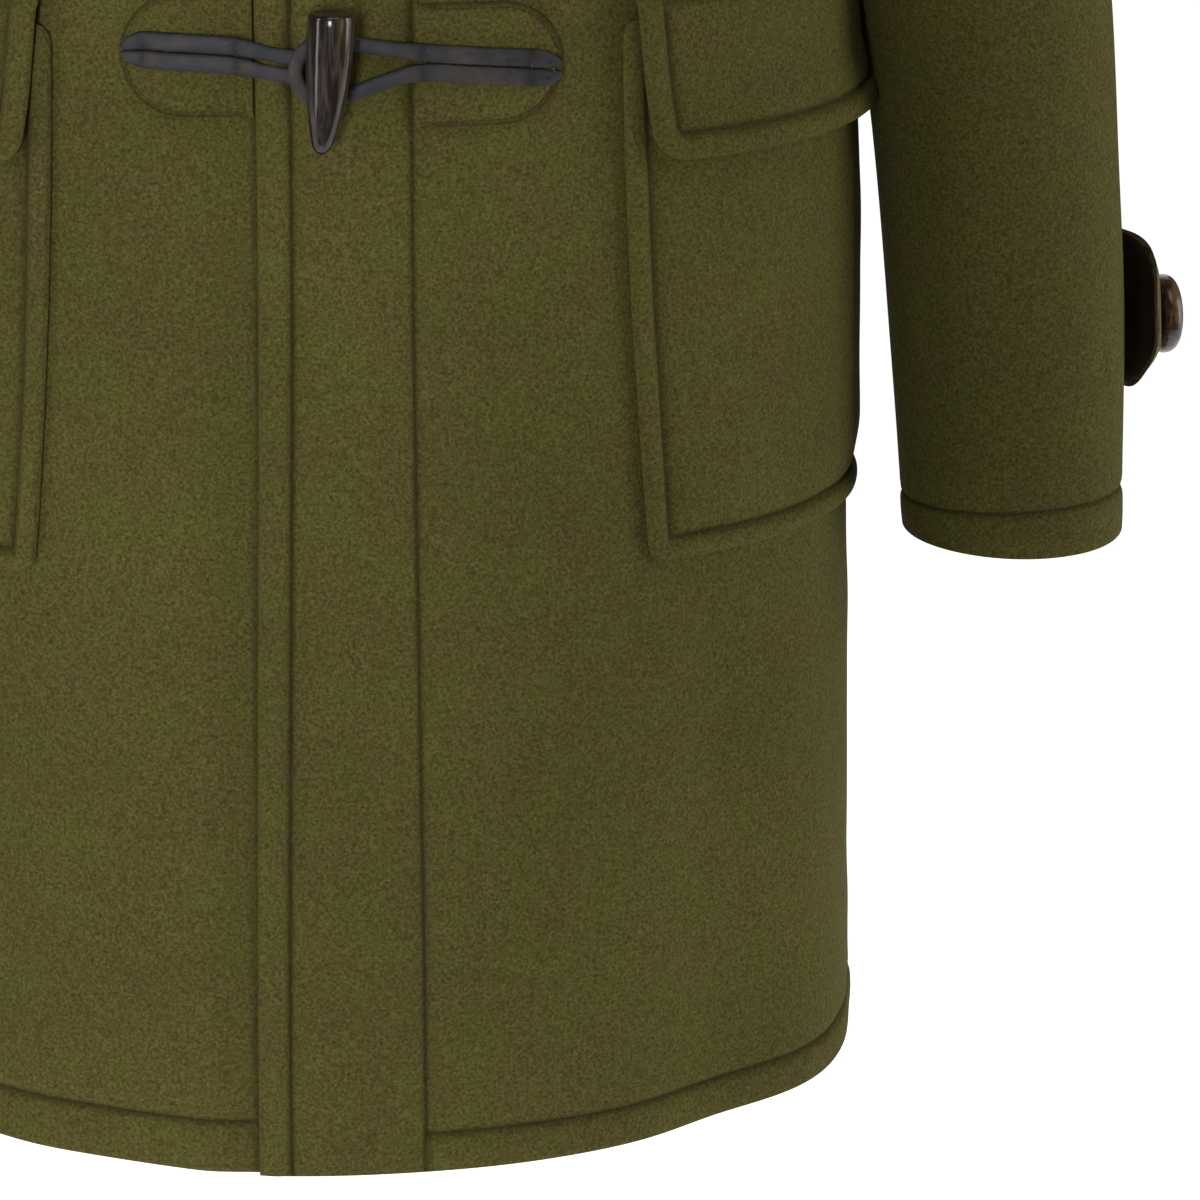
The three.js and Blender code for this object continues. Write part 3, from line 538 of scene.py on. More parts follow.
def seam_angle(level):
    """The angle of the side seam, of the armhole's middle and of the shoulder seam."""
    low = (level - HEM_LEVEL) / (UNDERARM_LEVEL - HEM_LEVEL)
    high = np.minimum(1, (level - UNDERARM_LEVEL) / (SHOULDER_LEVEL - UNDERARM_LEVEL))
    below = lerp(SIDE_SEAM["hem"], SIDE_SEAM["underarm"], low)
    above = lerp(SIDE_SEAM["underarm"], SIDE_SEAM["shoulder"], high)
    return np.radians(np.where(level < UNDERARM_LEVEL, below, above))


ARMHOLE_MIDDLE = (UNDERARM_LEVEL + SHOULDER_LEVEL) / 2
ARMHOLE_HALF = (SHOULDER_LEVEL - UNDERARM_LEVEL) / 2


def armhole_width(level, half):
    """Half the armhole's width at a level, as an angle."""
    off = (level - ARMHOLE_MIDDLE) / ARMHOLE_HALF
    return np.radians(half) * np.sqrt(np.maximum(0, 1 - off * off))


def down_front(ends, level):
    """A distance that changes from the hem up to the flaps, and stays the same above them."""
    return lerp(ends["bottom"], ends["top"], smooth(HEM_LEVEL, -480, level))


def fly_edge(level):
    """The left front's edge, across from the centre."""
    return -down_front(OVERLAP, level)


def strip_edge(level):
    """The seam of the strip that the left front is faced with."""
    return down_front(STRIP_EDGE, level)


def dip(across):
    """How far the right front sinks to pass under the left one."""
    return -DIP * smooth(-66, -36, across)


def panel_levels(hem):
    """The rows of a body panel, close together at the hem, its stitching and the neck."""
    radius = millimetres("cloth") / 2
    edge = edge_stops(radius)
    skirt = np.linspace(HEM_LEVEL + hem + 6, UNDERARM_LEVEL, 148)
    turns = np.radians(np.linspace(-90, 90, 48))
    armhole = ARMHOLE_MIDDLE + ARMHOLE_HALF * np.sin(turns)
    shoulder = np.linspace(SHOULDER_LEVEL, -3, 24)
    low = HEM_LEVEL + np.array([3, 5, 8, 11, hem - 4.5])
    return stops(HEM_LEVEL + edge, low, HEM_LEVEL + groove_stops(hem), skirt, armhole, shoulder, -edge)


# Meshes


def mesh_object(name, points, faces, materials, flags=None, indices=None):
    """A smooth mesh object from points in millimetres, with its faces turned outwards."""
    points = np.asarray(points, float).reshape(-1, 3) * MM
    faces = [np.asarray(group, int) for group in (faces if isinstance(faces, list) else [faces])]
    volume = 0.0
    for group in faces:
        a = points[group[:, 0]]
        for k in range(1, group.shape[1] - 1):
            volume += float((a * np.cross(points[group[:, k]], points[group[:, k + 1]])).sum())
    if volume < 0:
        faces = [group[:, ::-1] for group in faces]
    mesh = bpy.data.meshes.new(name)
    mesh.from_pydata(points.tolist(), [], [face for group in faces for face in group.tolist()])
    mesh.polygons.foreach_set("use_smooth", np.ones(len(mesh.polygons), bool))
    if indices is not None:
        mesh.polygons.foreach_set("material_index", np.asarray(indices, np.int32))
    # The pressed attribute paints the colour darker: pressed nap with painted shade in the grooves of
    # stitching, and painted shadow beside some edges.
    pressed = mesh.attributes.new("pressed", "FLOAT", "POINT")
    values = np.zeros(len(points)) if flags is None else np.asarray(flags, float).ravel()
    pressed.data.foreach_set("value", values.astype(np.float32))
    mesh.update()
    made = bpy.data.objects.new(name, mesh)
    bpy.context.scene.collection.objects.link(made)
    for material in materials:
        made.data.materials.append(material)
    return made


def grid_faces(index, ring=False):
    """Quads between neighbouring points of a grid of indices."""
    right = np.roll(index, -1, axis=1) if ring else index[:, 1:]
    left = index if ring else index[:, :-1]
    return np.stack([left[:-1], right[:-1], right[1:], left[1:]], -1).reshape(-1, 4)


def shell(name, outer, inner, materials, pressed=None, ring=False, edge_mask=None):
    """A closed sheet between two grids of points that meet at their borders."""
    rows, columns = outer.shape[:2]
    border = np.zeros((rows, columns), bool)
    border[[0, -1], :] = True
    if not ring:
        border[:, [0, -1]] = True
    outside = np.arange(rows * columns).reshape(rows, columns)
    inside = outside.copy()
    inside[~border] = rows * columns + np.arange((~border).sum())
    points = np.concatenate([outer.reshape(-1, 3), inner[~border]])
    faces = np.concatenate([grid_faces(outside, ring), grid_faces(inside, ring)[:, ::-1]])
    flags = np.zeros(len(points))
    if pressed is not None:
        flags[:rows * columns] = pressed.ravel()
    indices = None
    if edge_mask is not None:
        near = np.concatenate([edge_mask.ravel(), edge_mask[~border]])
        indices = near[faces].all(axis=1).astype(int)
    return mesh_object(name, points, faces, materials, flags, indices)


def finish_piece(piece, nodes=()):
    """The piece rides on the coat and stands for its CAD nodes."""
    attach(piece, BODY_NAME)
    if nodes:
        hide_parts(*nodes)
    return piece


def resample(line, pitch):
    """Places on a line at equal distances, as positions along its points."""
    lengths = np.concatenate([[0], np.cumsum(np.linalg.norm(np.diff(line, axis=0), axis=1))])
    count = max(2, int(lengths[-1] / pitch))
    return np.interp(np.linspace(0, lengths[-1], count + 1), lengths, np.arange(len(line)))


def stitches(name, lines, material, radius=0.22, fill=0.78):
    """Rows of stitches. Each line is its points and the way out of the cloth at each."""
    pitch = millimetres("stitch")
    rng = np.random.default_rng(len(name) * 7 + STITCH_SIDES)
    around = np.radians(np.arange(STITCH_SIDES) * 360 / STITCH_SIDES + 45)
    shape = (len(STITCH_FORM["share"]), STITCH_SIDES)
    points, faces = [], []
    for line, out in lines:
        at = resample(line, pitch)
        index = np.arange(len(line))
        spots = np.stack([np.interp(at, index, line[:, k]) for k in range(3)], -1)
        ups = unit(np.stack([np.interp(at, index, out[:, k]) for k in range(3)], -1))
        for a, b, up in zip(spots[:-1], spots[1:], ups[:-1]):
            way = (b - a) * (fill + rng.uniform(-0.03, 0.03))
            aside = unit(np.cross(up, way))
            start = a + aside * rng.uniform(-0.08, 0.08)
            rings = [
                start + way * share + up * radius * height
                + (aside * math.cos(turn) + up * math.sin(turn)) * radius * size
                for share, height, size in zip(*STITCH_FORM.values()) for turn in around
            ]
            grid = len(points) * math.prod(shape) + np.arange(math.prod(shape)).reshape(shape)
            points.append(np.array(rings))
            faces.extend([grid_faces(grid, ring=True), grid[:1, ::-1], grid[-1:]])
    made = mesh_object(name, np.concatenate(points), np.concatenate(faces), [material])
    return finish_piece(made)


# Materials


def add(tree, kind, inputs=None, **settings):
    """Adds a node with its settings. An input is a value or the socket that feeds it."""
    made = tree.nodes.new(kind)
    for key, value in settings.items():
        setattr(made, key, value)
    for key, value in (inputs or {}).items():
        if isinstance(value, bpy.types.NodeSocket):
            tree.links.new(value, made.inputs[key])
        else:
            made.inputs[key].default_value = value
    return made


def per_metre(size_mm):
    """A texture's scale from the size of its features."""
    return 1 / (size_mm * MM)


def surface(name):
    """Turns a function that sets up a shader into one that gives its material, made once and shared."""

    def wrap(build):
        @functools.wraps(build)
        def material():
            found = bpy.data.materials.get(name)
            if found:
                return found
            made = bpy.data.materials.new(name)
            made.use_nodes = True
            tree = made.node_tree
            tree.nodes.clear()
            place = add(tree, "ShaderNodeTexCoord").outputs["Object"]
            shader = add(tree, "ShaderNodeBsdfPrincipled", build(tree, place))
            add(tree, "ShaderNodeOutputMaterial", {"Surface": shader.outputs["BSDF"]})
            return made

        return material

    return wrap


def mixed(tree, factor, a, b, blend="MIX"):
    """Two colours mixed by a factor."""
    made = add(tree, "ShaderNodeMix", {0: factor, 6: a, 7: b}, data_type="RGBA", blend_type=blend)
    return made.outputs[2]


def ranged(tree, value, low, high, to_low=0.0, to_high=1.0):
    """A value's range stretched to another one."""
    made = add(tree, "ShaderNodeMapRange", {0: value, 1: low, 2: high, 3: to_low, 4: to_high})
    return made.outputs[0]


def noise(tree, place, size, detail=3, roughness=0.5, distortion=0.0):
    """A noise whose features have a size in millimetres."""
    made = add(tree, "ShaderNodeTexNoise", {"Vector": place, "Scale": per_metre(size), "Detail": detail,
                                            "Roughness": roughness, "Distortion": distortion})
    return made.outputs["Fac"]


def bumped(tree, height, strength, depth, under=None):
    """Small relief with a depth in millimetres, on its own or over another relief."""
    inputs = {"Height": height, "Strength": strength, "Distance": depth * MM}
    if under is not None:
        inputs["Normal"] = under
    return add(tree, "ShaderNodeBump", inputs).outputs["Normal"]


def hexed(hex_colour):
    """An sRGB hex colour as linear RGBA."""
    return (*linear(hex_colour), 1.0)


def pressed_and_shaded_share(tree, most):
    """How much darker a material is painted by its pressed attribute: pressed nap or leather with painted
    shade in the grooves of stitching, and painted shadow beside some edges.
    """
    pressed = add(tree, "ShaderNodeAttribute", attribute_name="pressed")
    return ranged(tree, pressed.outputs["Fac"], 0, 1, 0, most)


@surface("milled_melton_wool")
def melton(tree, place):
    """Milled melton wool: felted so hard that no weave shows, only short matt fibres of mixed tones,
    which give it a fine speckle, soft broad blotches and a faint bloom at the edges of its form.
    The real fibres are 0.02 mm thick, and the speckle is drawn at 1.5 mm so that it shows."""
    speck = noise(tree, place, 1.5, roughness=0.7)
    fleck = noise(tree, place, 4.5, roughness=0.7)
    cloud = noise(tree, place, 24)
    wide = noise(tree, place, 120, detail=1)
    tone = mixed(tree, ranged(tree, speck, 0.33, 0.67), colour("wool_dark"), colour("wool_light"))
    tone = mixed(tree, ranged(tree, fleck, 0.34, 0.68, 0.1, 0.55), tone, colour("wool"))
    blotch = mixed(tree, ranged(tree, cloud, 0.35, 0.65), hexed("#4c4d1c"), hexed("#4d3f24"))
    tone = mixed(tree, 0.3, tone, blotch)
    tone = mixed(tree, 1.0, tone, ranged(tree, wide, 0.3, 0.7, 0.93, 1.07), "MULTIPLY")
    # Painted darker by the pressed attribute: pressed nap and painted shade along stitching, and painted
    # shadow beside the left front's edge and round the patches.
    tone = mixed(tree, pressed_and_shaded_share(tree, 0.45), tone, hexed("#1e1b0b"))
    nap = noise(tree, place, 0.8, detail=4, roughness=0.7)
    fine = bumped(tree, nap, 0.55, 0.7)
    return {"Base Color": tone, "Roughness": 0.95, "Specular IOR Level": 0.06, "Sheen Weight": 0.05,
            "Sheen Roughness": 0.55, "Sheen Tint": hexed("#a09a62"),
            "Normal": bumped(tree, fleck, 0.4, 1.2, fine)}


@surface("spun_polyester_thread")
def thread(tree, place):
    """Spun polyester thread, dyed to the wool: a little darker and smoother, so that the rows of
    stitches are told from the cloth only close by. The twist is drawn at 0.6 mm."""
    twist = noise(tree, place, 0.6, detail=2)
    tone = mixed(tree, ranged(tree, twist, 0.3, 0.7), colour("thread"), colour("wool_dark"))
    return {"Base Color": tone, "Roughness": 0.75, "Specular IOR Level": 0.3,
            "Normal": bumped(tree, twist, 0.4, 0.2)}


@surface("waxed_leather_thong")
def waxed_leather(tree, place):
    """Rounded leather thong, dyed charcoal and waxed: a close grain, lengthwise creases where it bends,
    and a painted grey highlight in streaks along the creases, with the brown of the hide where the wax has
    worn."""
    along = add(tree, "ShaderNodeMapping", {"Vector": place, "Scale": (0.22, 1, 1)}).outputs["Vector"]
    crease = noise(tree, along, 1.6)
    grain = add(tree, "ShaderNodeTexVoronoi", {"Vector": place, "Scale": per_metre(0.8)})
    wear = noise(tree, place, 9)
    tone = mixed(tree, ranged(tree, wear, 0.42, 0.7), colour("thong"), hexed("#3d332c"))
    # Painted grey highlight in streaks that follow the creases.
    tone = mixed(tree, ranged(tree, crease, 0.35, 0.7, 0, 0.4), tone, hexed("#3a3c42"))
    # Painted darker at the thread bars: the pinched leather and the painted shade in the pinch.
    tone = mixed(tree, pressed_and_shaded_share(tree, 0.75), tone, hexed("#111114"))
    low = bumped(tree, grain.outputs["Distance"], 0.25, 0.3)
    return {"Base Color": tone, "Roughness": ranged(tree, crease, 0.3, 0.7, 0.5, 0.7),
            "Specular IOR Level": 0.3, "Normal": bumped(tree, crease, 0.35, 0.6, low)}


@surface("polished_buffalo_horn")
def polished_horn(tree, place):
    """Buffalo horn, cut and polished: nearly black, with brown streaks and pale flecks along the
    growth on one side, under a gloss that shows the lamps as thin bright lines."""
    grown = add(tree, "ShaderNodeMapping", {"Vector": place, "Scale": (1, 1, 0.09)}).outputs["Vector"]
    streak = noise(tree, grown, 3.4, detail=5, roughness=0.6, distortion=0.6)
    fleck = noise(tree, grown, 5.2, detail=4, distortion=1.2)
    side = add(tree, "ShaderNodeSeparateXYZ", {"Vector": place})
    right = ranged(tree, side.outputs["X"], 0.003, 0.0095)

    def on_right(value):
        return add(tree, "ShaderNodeMath", {0: value, 1: right}, operation="MULTIPLY").outputs[0]

    tone = mixed(tree, ranged(tree, streak, 0.48, 0.66, 0, 0.75), colour("horn"), hexed("#4a423f"))
    tone = mixed(tree, on_right(ranged(tree, streak, 0.36, 0.56)), tone, colour("horn_streak"))
    tone = mixed(tree, on_right(ranged(tree, fleck, 0.56, 0.62)), tone, colour("horn_pale"))
    return {"Base Color": tone, "Roughness": 0.13, "IOR": 1.54, "Specular IOR Level": 0.35,
            "Normal": bumped(tree, streak, 0.12, 0.4)}


@surface("dyed_tab_leather")
def tab_leather(tree, place):
    """Vegetable-tanned leather, dyed dark brown on its grain side, with fine pores and a dull shine."""
    pore = add(tree, "ShaderNodeTexVoronoi", {"Vector": place, "Scale": per_metre(1.1)})
    wear = noise(tree, place, 11, detail=4)
    tone = mixed(tree, ranged(tree, wear, 0.4, 0.72), colour("tab"), hexed("#33231a"))
    return {"Base Color": tone, "Roughness": 0.55, "Specular IOR Level": 0.4,
            "Normal": bumped(tree, pore.outputs["Distance"], 0.3, 0.4)}


@surface("raw_leather_edge")
def cut_edge(tree, place):
    """The raw cut edge of the tab leather: undyed fibres, pale olive and matt."""
    fibre = noise(tree, place, 1.0)
    tone = mixed(tree, ranged(tree, fibre, 0.3, 0.7), colour("tab_edge"), hexed("#4a452b"))
    return {"Base Color": tone, "Roughness": 0.85, "Specular IOR Level": 0.2,
            "Normal": bumped(tree, fibre, 0.4, 0.4)}


@surface("turned_brown_horn")
def button_horn(tree, place):
    """Turned brown horn with a satin polish: clouds of dark and amber brown."""
    cloud = noise(tree, place, 6, detail=4, distortion=1.5)
    tone = mixed(tree, ranged(tree, cloud, 0.4, 0.64), colour("button"), hexed("#6b4a2c"))
    return {"Base Color": tone, "Roughness": 0.3, "IOR": 1.54, "Normal": bumped(tree, cloud, 0.1, 0.4)}


@surface("matt_studio_paint")
def studio_floor(tree, place):
    """Matt white studio paint, faintly uneven over a third of a metre and lit through like a light table."""
    dust = noise(tree, place, 1000 / 3, detail=2)
    tone = mixed(tree, ranged(tree, dust, 0.3, 0.7, 0, 0.06), colour("floor"), (0.85, 0.85, 0.85, 1))
    return {"Base Color": tone, "Roughness": 0.9, "Specular IOR Level": 0.1,
            "Emission Color": (1, 1, 1, 1), "Emission Strength": 1.0}


# Fronts and back


def stitch_depth():
    """How far a row of stitches lies below the face of the cloth, near the bottom of its groove."""
    return millimetres("groove") - 0.2


def hem_relief(level, depth):
    """The swelling and groove of a hem."""
    up = level - HEM_LEVEL
    return puffed(up, depth, millimetres("puff") * 0.5) + groove(up - depth, millimetres("groove"))


def pressed_and_shaded_line(distance, half_width=1.5):
    """How much darker the nap is painted near a line of stitching, for its pressed nap and the painted shade
    in its groove, and near an edge for a painted shadow.
    """
    return np.exp(-((distance / half_width) ** 2))


def panel(name, angle, level, lift, side_distance, pressed):
    """A front or the back, from its grid of angles and levels."""
    cloth = millimetres("cloth")
    radius = cloth / 2
    nearest = np.minimum(np.minimum(side_distance, level - HEM_LEVEL), -level)
    sink = edge_sink(np.maximum(nearest, 0), radius)
    fade = smooth(0, radius, np.maximum(nearest, 0))
    outer = on_body(angle, level, lift[0] * fade + lift[1] - sink)
    inner = on_body(angle, level, lift[1] - cloth + sink)
    made = shell(f"{name}_cloth", outer, inner, [melton()], pressed)
    return finish_piece(made, [name])


def seam_valley(distance):
    """The dip where two panels are sewn together and pressed."""
    return -0.9 * np.exp(-((distance / 3.2) ** 2))


def front_left():
    """The left front, with its stitched band and the seam beside it."""
    levels = panel_levels(millimetres("hem_left"))[:, None]
    band = millimetres("band")
    radius = millimetres("cloth") / 2
    edge, strip = fly_edge(levels), strip_edge(levels)
    near = stops(edge_stops(radius), [3, 5, 7.5, 10], groove_stops(band))
    start = edge + near[None, :]
    shares = np.linspace(0, 1, 14)[1:-1]
    between = lerp(edge + near[-1], strip - 3, shares[None, :])
    beside = strip + groove_stops(0)[None, :]
    across = np.concatenate([start, between, beside], axis=1)
    near_angle = angle_across(across, levels)
    seam = seam_angle(levels) - armhole_width(levels, ARMHOLE["front"])
    speed = round_speed(seam, levels)
    last = seam - SEAM_GAP / 2 / speed
    inwards = stops(edge_stops(radius), [3, 5.5, 9])[::-1]
    middle = near_angle[:, -1:] + (last - near_angle[:, -1:]) * np.linspace(0, 1, 84)[None, 1:-3]
    end = last - inwards[None, :] / speed
    angle = np.concatenate([near_angle, np.minimum(middle, end[:, :1] - 1e-3), end], axis=1)
    level = np.broadcast_to(levels, angle.shape)
    from_edge = np.concatenate([across - edge, np.full((len(levels), angle.shape[1] - across.shape[1]),
                                                       900.0)], axis=1)
    from_strip = np.concatenate([across - strip, (angle[:, across.shape[1]:] - near_angle[:, -1:]) * 200],
                                axis=1)
    from_seam = (last - angle) * speed
    hem_on = smooth(-1.5, 1.5, from_strip)
    relief = puffed(from_edge, band, 1.2 * millimetres("puff"))
    relief = relief + groove(from_edge - band, millimetres("groove"))
    relief = relief + groove(from_strip, millimetres("groove"))
    relief = relief + hem_relief(level, millimetres("hem_left")) * hem_on + seam_valley(from_seam)
    hem_line = pressed_and_shaded_line(level - HEM_LEVEL - millimetres("hem_left")) * hem_on
    pressed = np.maximum.reduce([pressed_and_shaded_line(from_edge - band), pressed_and_shaded_line(from_strip), hem_line])
    distance = np.minimum(from_edge, from_seam)
    panel("front_left", angle, level, (relief, 0.0), distance, pressed)


def front_right():
    """The right front, which passes under the left one."""
    hem = millimetres("hem_right")
    levels = panel_levels(hem)[:, None]
    radius = millimetres("cloth") / 2
    under = UNDERLAP - stops(edge_stops(radius), np.linspace(4, UNDERLAP + 66, 30))
    across = np.broadcast_to(under[None, :], (len(levels), len(under)))
    near_angle = angle_across(across, levels)
    seam = -(seam_angle(levels) - armhole_width(levels, ARMHOLE["front"]))
    speed = round_speed(seam, levels)
    last = seam + SEAM_GAP / 2 / speed
    inwards = stops(edge_stops(radius), [3, 5.5, 9])[::-1]
    middle = near_angle[:, -1:] + (last - near_angle[:, -1:]) * np.linspace(0, 1, 80)[None, 1:-3]
    end = last + inwards[None, :] / speed
    angle = np.concatenate([near_angle, np.maximum(middle, end[:, :1] + 1e-3), end], axis=1)
    level = np.broadcast_to(levels, angle.shape)
    from_edge = np.concatenate([UNDERLAP - across, np.full((len(levels), angle.shape[1] - len(under)),
                                                           900.0)], axis=1)
    from_seam = (angle - last) * speed
    relief = hem_relief(level, hem) + seam_valley(from_seam)
    sunk = dip(angle * BODY_AT["half_width"](level))
    beyond = -down_front(OVERLAP, level) - angle * round_speed(angle * 0.5, level)
    # Painted shade in the hem's stitching groove with its pressed nap, and a painted shadow on this front
    # beside the left front's edge.
    pressed = np.maximum(pressed_and_shaded_line(level - HEM_LEVEL - hem), 1.4 * pressed_and_shaded_line(beyond, 2.4))
    distance = np.minimum(from_edge, from_seam)
    panel("front_right", angle, level, (relief, sunk), distance, pressed)


def back():
    """The back, from side seam to side seam."""
    hem = millimetres("hem_back")
    levels = panel_levels(hem)[:, None]
    radius = millimetres("cloth") / 2
    start = seam_angle(levels) + armhole_width(levels, ARMHOLE["back"])
    speed = round_speed(start, levels)
    first = start + SEAM_GAP / 2 / speed
    inwards = stops(edge_stops(radius), [3, 5.5, 9])
    low = first + inwards[None, :] / speed
    high = 2 * np.pi - low[:, ::-1]
    middle = lerp(low[:, -1:], high[:, :1], np.linspace(0, 1, 122)[None, 1:-1])
    angle = np.concatenate([low, middle, high], axis=1)
    level = np.broadcast_to(levels, angle.shape)
    from_seam = np.minimum(angle - first, 2 * np.pi - first - angle) * speed
    relief = hem_relief(level, hem) + seam_valley(from_seam)
    pressed = pressed_and_shaded_line(level - HEM_LEVEL - hem)
    panel("back", angle, level, (relief, 0.0), from_seam, pressed)


def body_line(angle, level, lift):
    """A line of stitching on the body, sunk in its groove."""
    return on_body(angle, level, lift), body_normal(angle, level)


def front_sewing():
    """The stitching of the front band, the strip and the hems."""
    depth = -stitch_depth()
    levels = np.linspace(HEM_LEVEL + 1.5, -4, 320)
    band = angle_across(fly_edge(levels) + millimetres("band"), levels)
    strip = angle_across(strip_edge(levels), levels)
    lines = [body_line(band, levels, depth), body_line(strip, levels, depth)]
    hem = HEM_LEVEL + millimetres("hem_left")
    ends = float(angle_across(strip_edge(hem), hem)) + 0.006, float(seam_angle(hem)) - 0.01
    angle = np.linspace(*ends, 160)
    lines.append(body_line(angle, np.full_like(angle, hem), depth))
    hem = HEM_LEVEL + millimetres("hem_right")
    ends = float(angle_across(fly_edge(hem) + 10, hem)), -float(seam_angle(hem)) + 0.01
    angle = np.linspace(*ends, 160)
    lines.append(body_line(angle, np.full_like(angle, hem), depth + dip(angle * 256)))
    stitches("front_stitches", lines, thread())
    hem = HEM_LEVEL + millimetres("hem_back")
    angle = np.linspace(float(seam_angle(hem)) + 0.01, 2 * np.pi - float(seam_angle(hem)) - 0.01, 220)
    stitches("back_stitches", [body_line(angle, np.full_like(angle, hem), depth)], thread())


# Sleeves


def armhole_point(turn):
    """A point of the armhole, at a turn round the sleeve."""
    shrink = 1 - SEAM_GAP / 90
    level = ARMHOLE_MIDDLE + ARMHOLE_HALF * shrink * np.sin(turn)
    width = np.radians(np.where(np.cos(turn) > 0, ARMHOLE["front"], ARMHOLE["back"]))
    return on_body(seam_angle(level) - width * shrink * np.cos(turn), level)


def sleeve_base(turn, share):
    """A point of the plain left sleeve, at a turn round it and a share down it."""
    turn, share = np.broadcast_arrays(np.asarray(turn, float), np.asarray(share, float))
    outer = np.stack([SLEEVE_AT[k](share) for k in ("outer_x", "centre_y", "outer_z")], -1)
    inner = np.stack([SLEEVE_AT[k](share) for k in ("inner_x", "centre_y", "inner_z")], -1)
    point = (outer + inner) / 2 + (outer - inner) * np.sin(turn)[..., None] / 2
    point[..., 1] -= SLEEVE_AT["half_depth"](share) * np.cos(turn)
    return lerp(point, armhole_point(turn), (1 - smooth(0, 0.14, share))[..., None])


def sleeve_normal(turn, share):
    """The way out of the plain left sleeve."""
    step_turn, step_share = 0.02, 0.004
    around = sleeve_base(turn + step_turn, share) - sleeve_base(turn - step_turn, share)
    low = np.maximum(share - step_share, 0)
    down = sleeve_base(turn, low + 2 * step_share) - sleeve_base(turn, low)
    return -unit(np.cross(around, down))


def sleeve_creases(turn, share):
    """The creases and unevenness of the sleeve."""
    degrees = np.degrees(turn)
    total = 0.5 * uneven(np.sin(turn) * 90 + np.cos(turn) * 70, share * 650, 150, 21)
    for middle, down, wide, tall, depth, slant in zip(*SLEEVE_CREASES.values()):
        x = angle_off(degrees, middle)
        y = share - down - slant * x / wide
        total = total + depth * np.exp(-((x / wide) ** 2) - (y / tall) ** 2)
    return total * bpy.context.scene.coat_sizes.folds * smooth(0.02, 0.1, share)


def on_sleeve(turn, share, lift=0.0):
    """A point of the left sleeve, lifted off its cloth."""
    turn, share = np.broadcast_arrays(np.asarray(turn, float), np.asarray(share, float))
    out = np.asarray(lift + sleeve_creases(turn, share))[..., None]
    return sleeve_base(turn, share) + sleeve_normal(turn, share) * out


def mirrored(points, side):
    """Points on the wearer's left (1) or right (-1)."""
    return points * np.array([side, 1, 1])


CUFF_LENGTH = 700.0


def deeper_front(turn, down):
    """How much further up the hem's stitching lies at the front of the cuff."""
    return 3.6 * np.cos(turn) * smooth(0, 15, down) * (1 - smooth(30, 80, down))


def sleeve(word, side):
    """A sleeve with its hem and seams. Gives the hem's line of stitching."""
    cloth = millimetres("cloth")
    radius = cloth / 2
    hem = millimetres("cuff_hem")
    from_cuff = stops(edge_stops(radius), [3, 5, 8, 12, hem - 4.5], groove_stops(hem), [hem + 5],
                      np.linspace(hem + 9, CUFF_LENGTH - 9, 132), CUFF_LENGTH - edge_stops(radius),
                      [CUFF_LENGTH - 5, CUFF_LENGTH - 3])
    share = (1 - from_cuff / CUFF_LENGTH)[::-1, None]
    turn = np.radians(np.linspace(-90, 270, 112, endpoint=False))[None, :]
    share, turn = np.broadcast_arrays(share, turn)
    down = (1 - share) * CUFF_LENGTH
    share = share - deeper_front(turn, down) / CUFF_LENGTH
    up = share * CUFF_LENGTH
    sink = edge_sink(np.minimum(down, up), radius)
    fade = smooth(0, radius, np.minimum(down, up))
    degrees = np.degrees(turn)
    seams = seam_valley(angle_off(degrees, CUFF_TAB["root"]) * 1.2)
    seams = seams + seam_valley(angle_off(degrees, -95) * 1.2) + seam_valley(up)
    relief = puffed(down, hem, 0.25 * millimetres("puff")) + groove(down - hem, 0.7 * millimetres("groove"))
    relief = relief + seams
    outer = mirrored(on_sleeve(turn, share, relief * fade - sink), side)
    inner = mirrored(on_sleeve(turn, share, -cloth + sink), side)
    pressed = pressed_and_shaded_line(down - hem)
    made = shell(f"sleeve_{word}_cloth", outer, inner, [melton()], pressed, ring=True)
    finish_piece(made, [f"sleeve_{word}"])
    around = np.radians(np.linspace(-90, 270, 150))
    level = 1 - (hem + deeper_front(around, hem)) / CUFF_LENGTH
    line = mirrored(on_sleeve(around, level, -0.7 * millimetres("groove") + 0.2), side)
    return line, mirrored(sleeve_normal(around, level), side)


def share_at_height(turn, height):
    """The share down the sleeve at which it is at a height."""
    turn, height = np.broadcast_arrays(np.asarray(turn, float), np.asarray(height, float))
    low, high = np.full(turn.shape, 0.3), np.full(turn.shape, 1.0)
    for _ in range(22):
        middle = (low + high) / 2
        above = sleeve_base(turn, middle)[..., 2] > height
        low, high = np.where(above, middle, low), np.where(above, high, middle)
    return (low + high) / 2


def tab_point(share, height, lift):
    """A point of the cuff tab, at a share of its length from its sewn end."""
    turn = np.radians(lerp(CUFF_TAB["root"], CUFF_TAB["end"], share))
    below = (CUFF_TAB["centre"] - height) / (CUFF_TAB["width"] / 2)
    off = CUFF_TAB["stand_off"] * (1.08 - 0.85 * smooth(0.15, 1.05, below))
    stand = LAYER_GAP + off * smooth(0.35, 0.95, share)
    at = share_at_height(turn, height)
    return sleeve_base(turn, at) + sleeve_normal(turn, at) * np.asarray(stand + lift)[..., None]


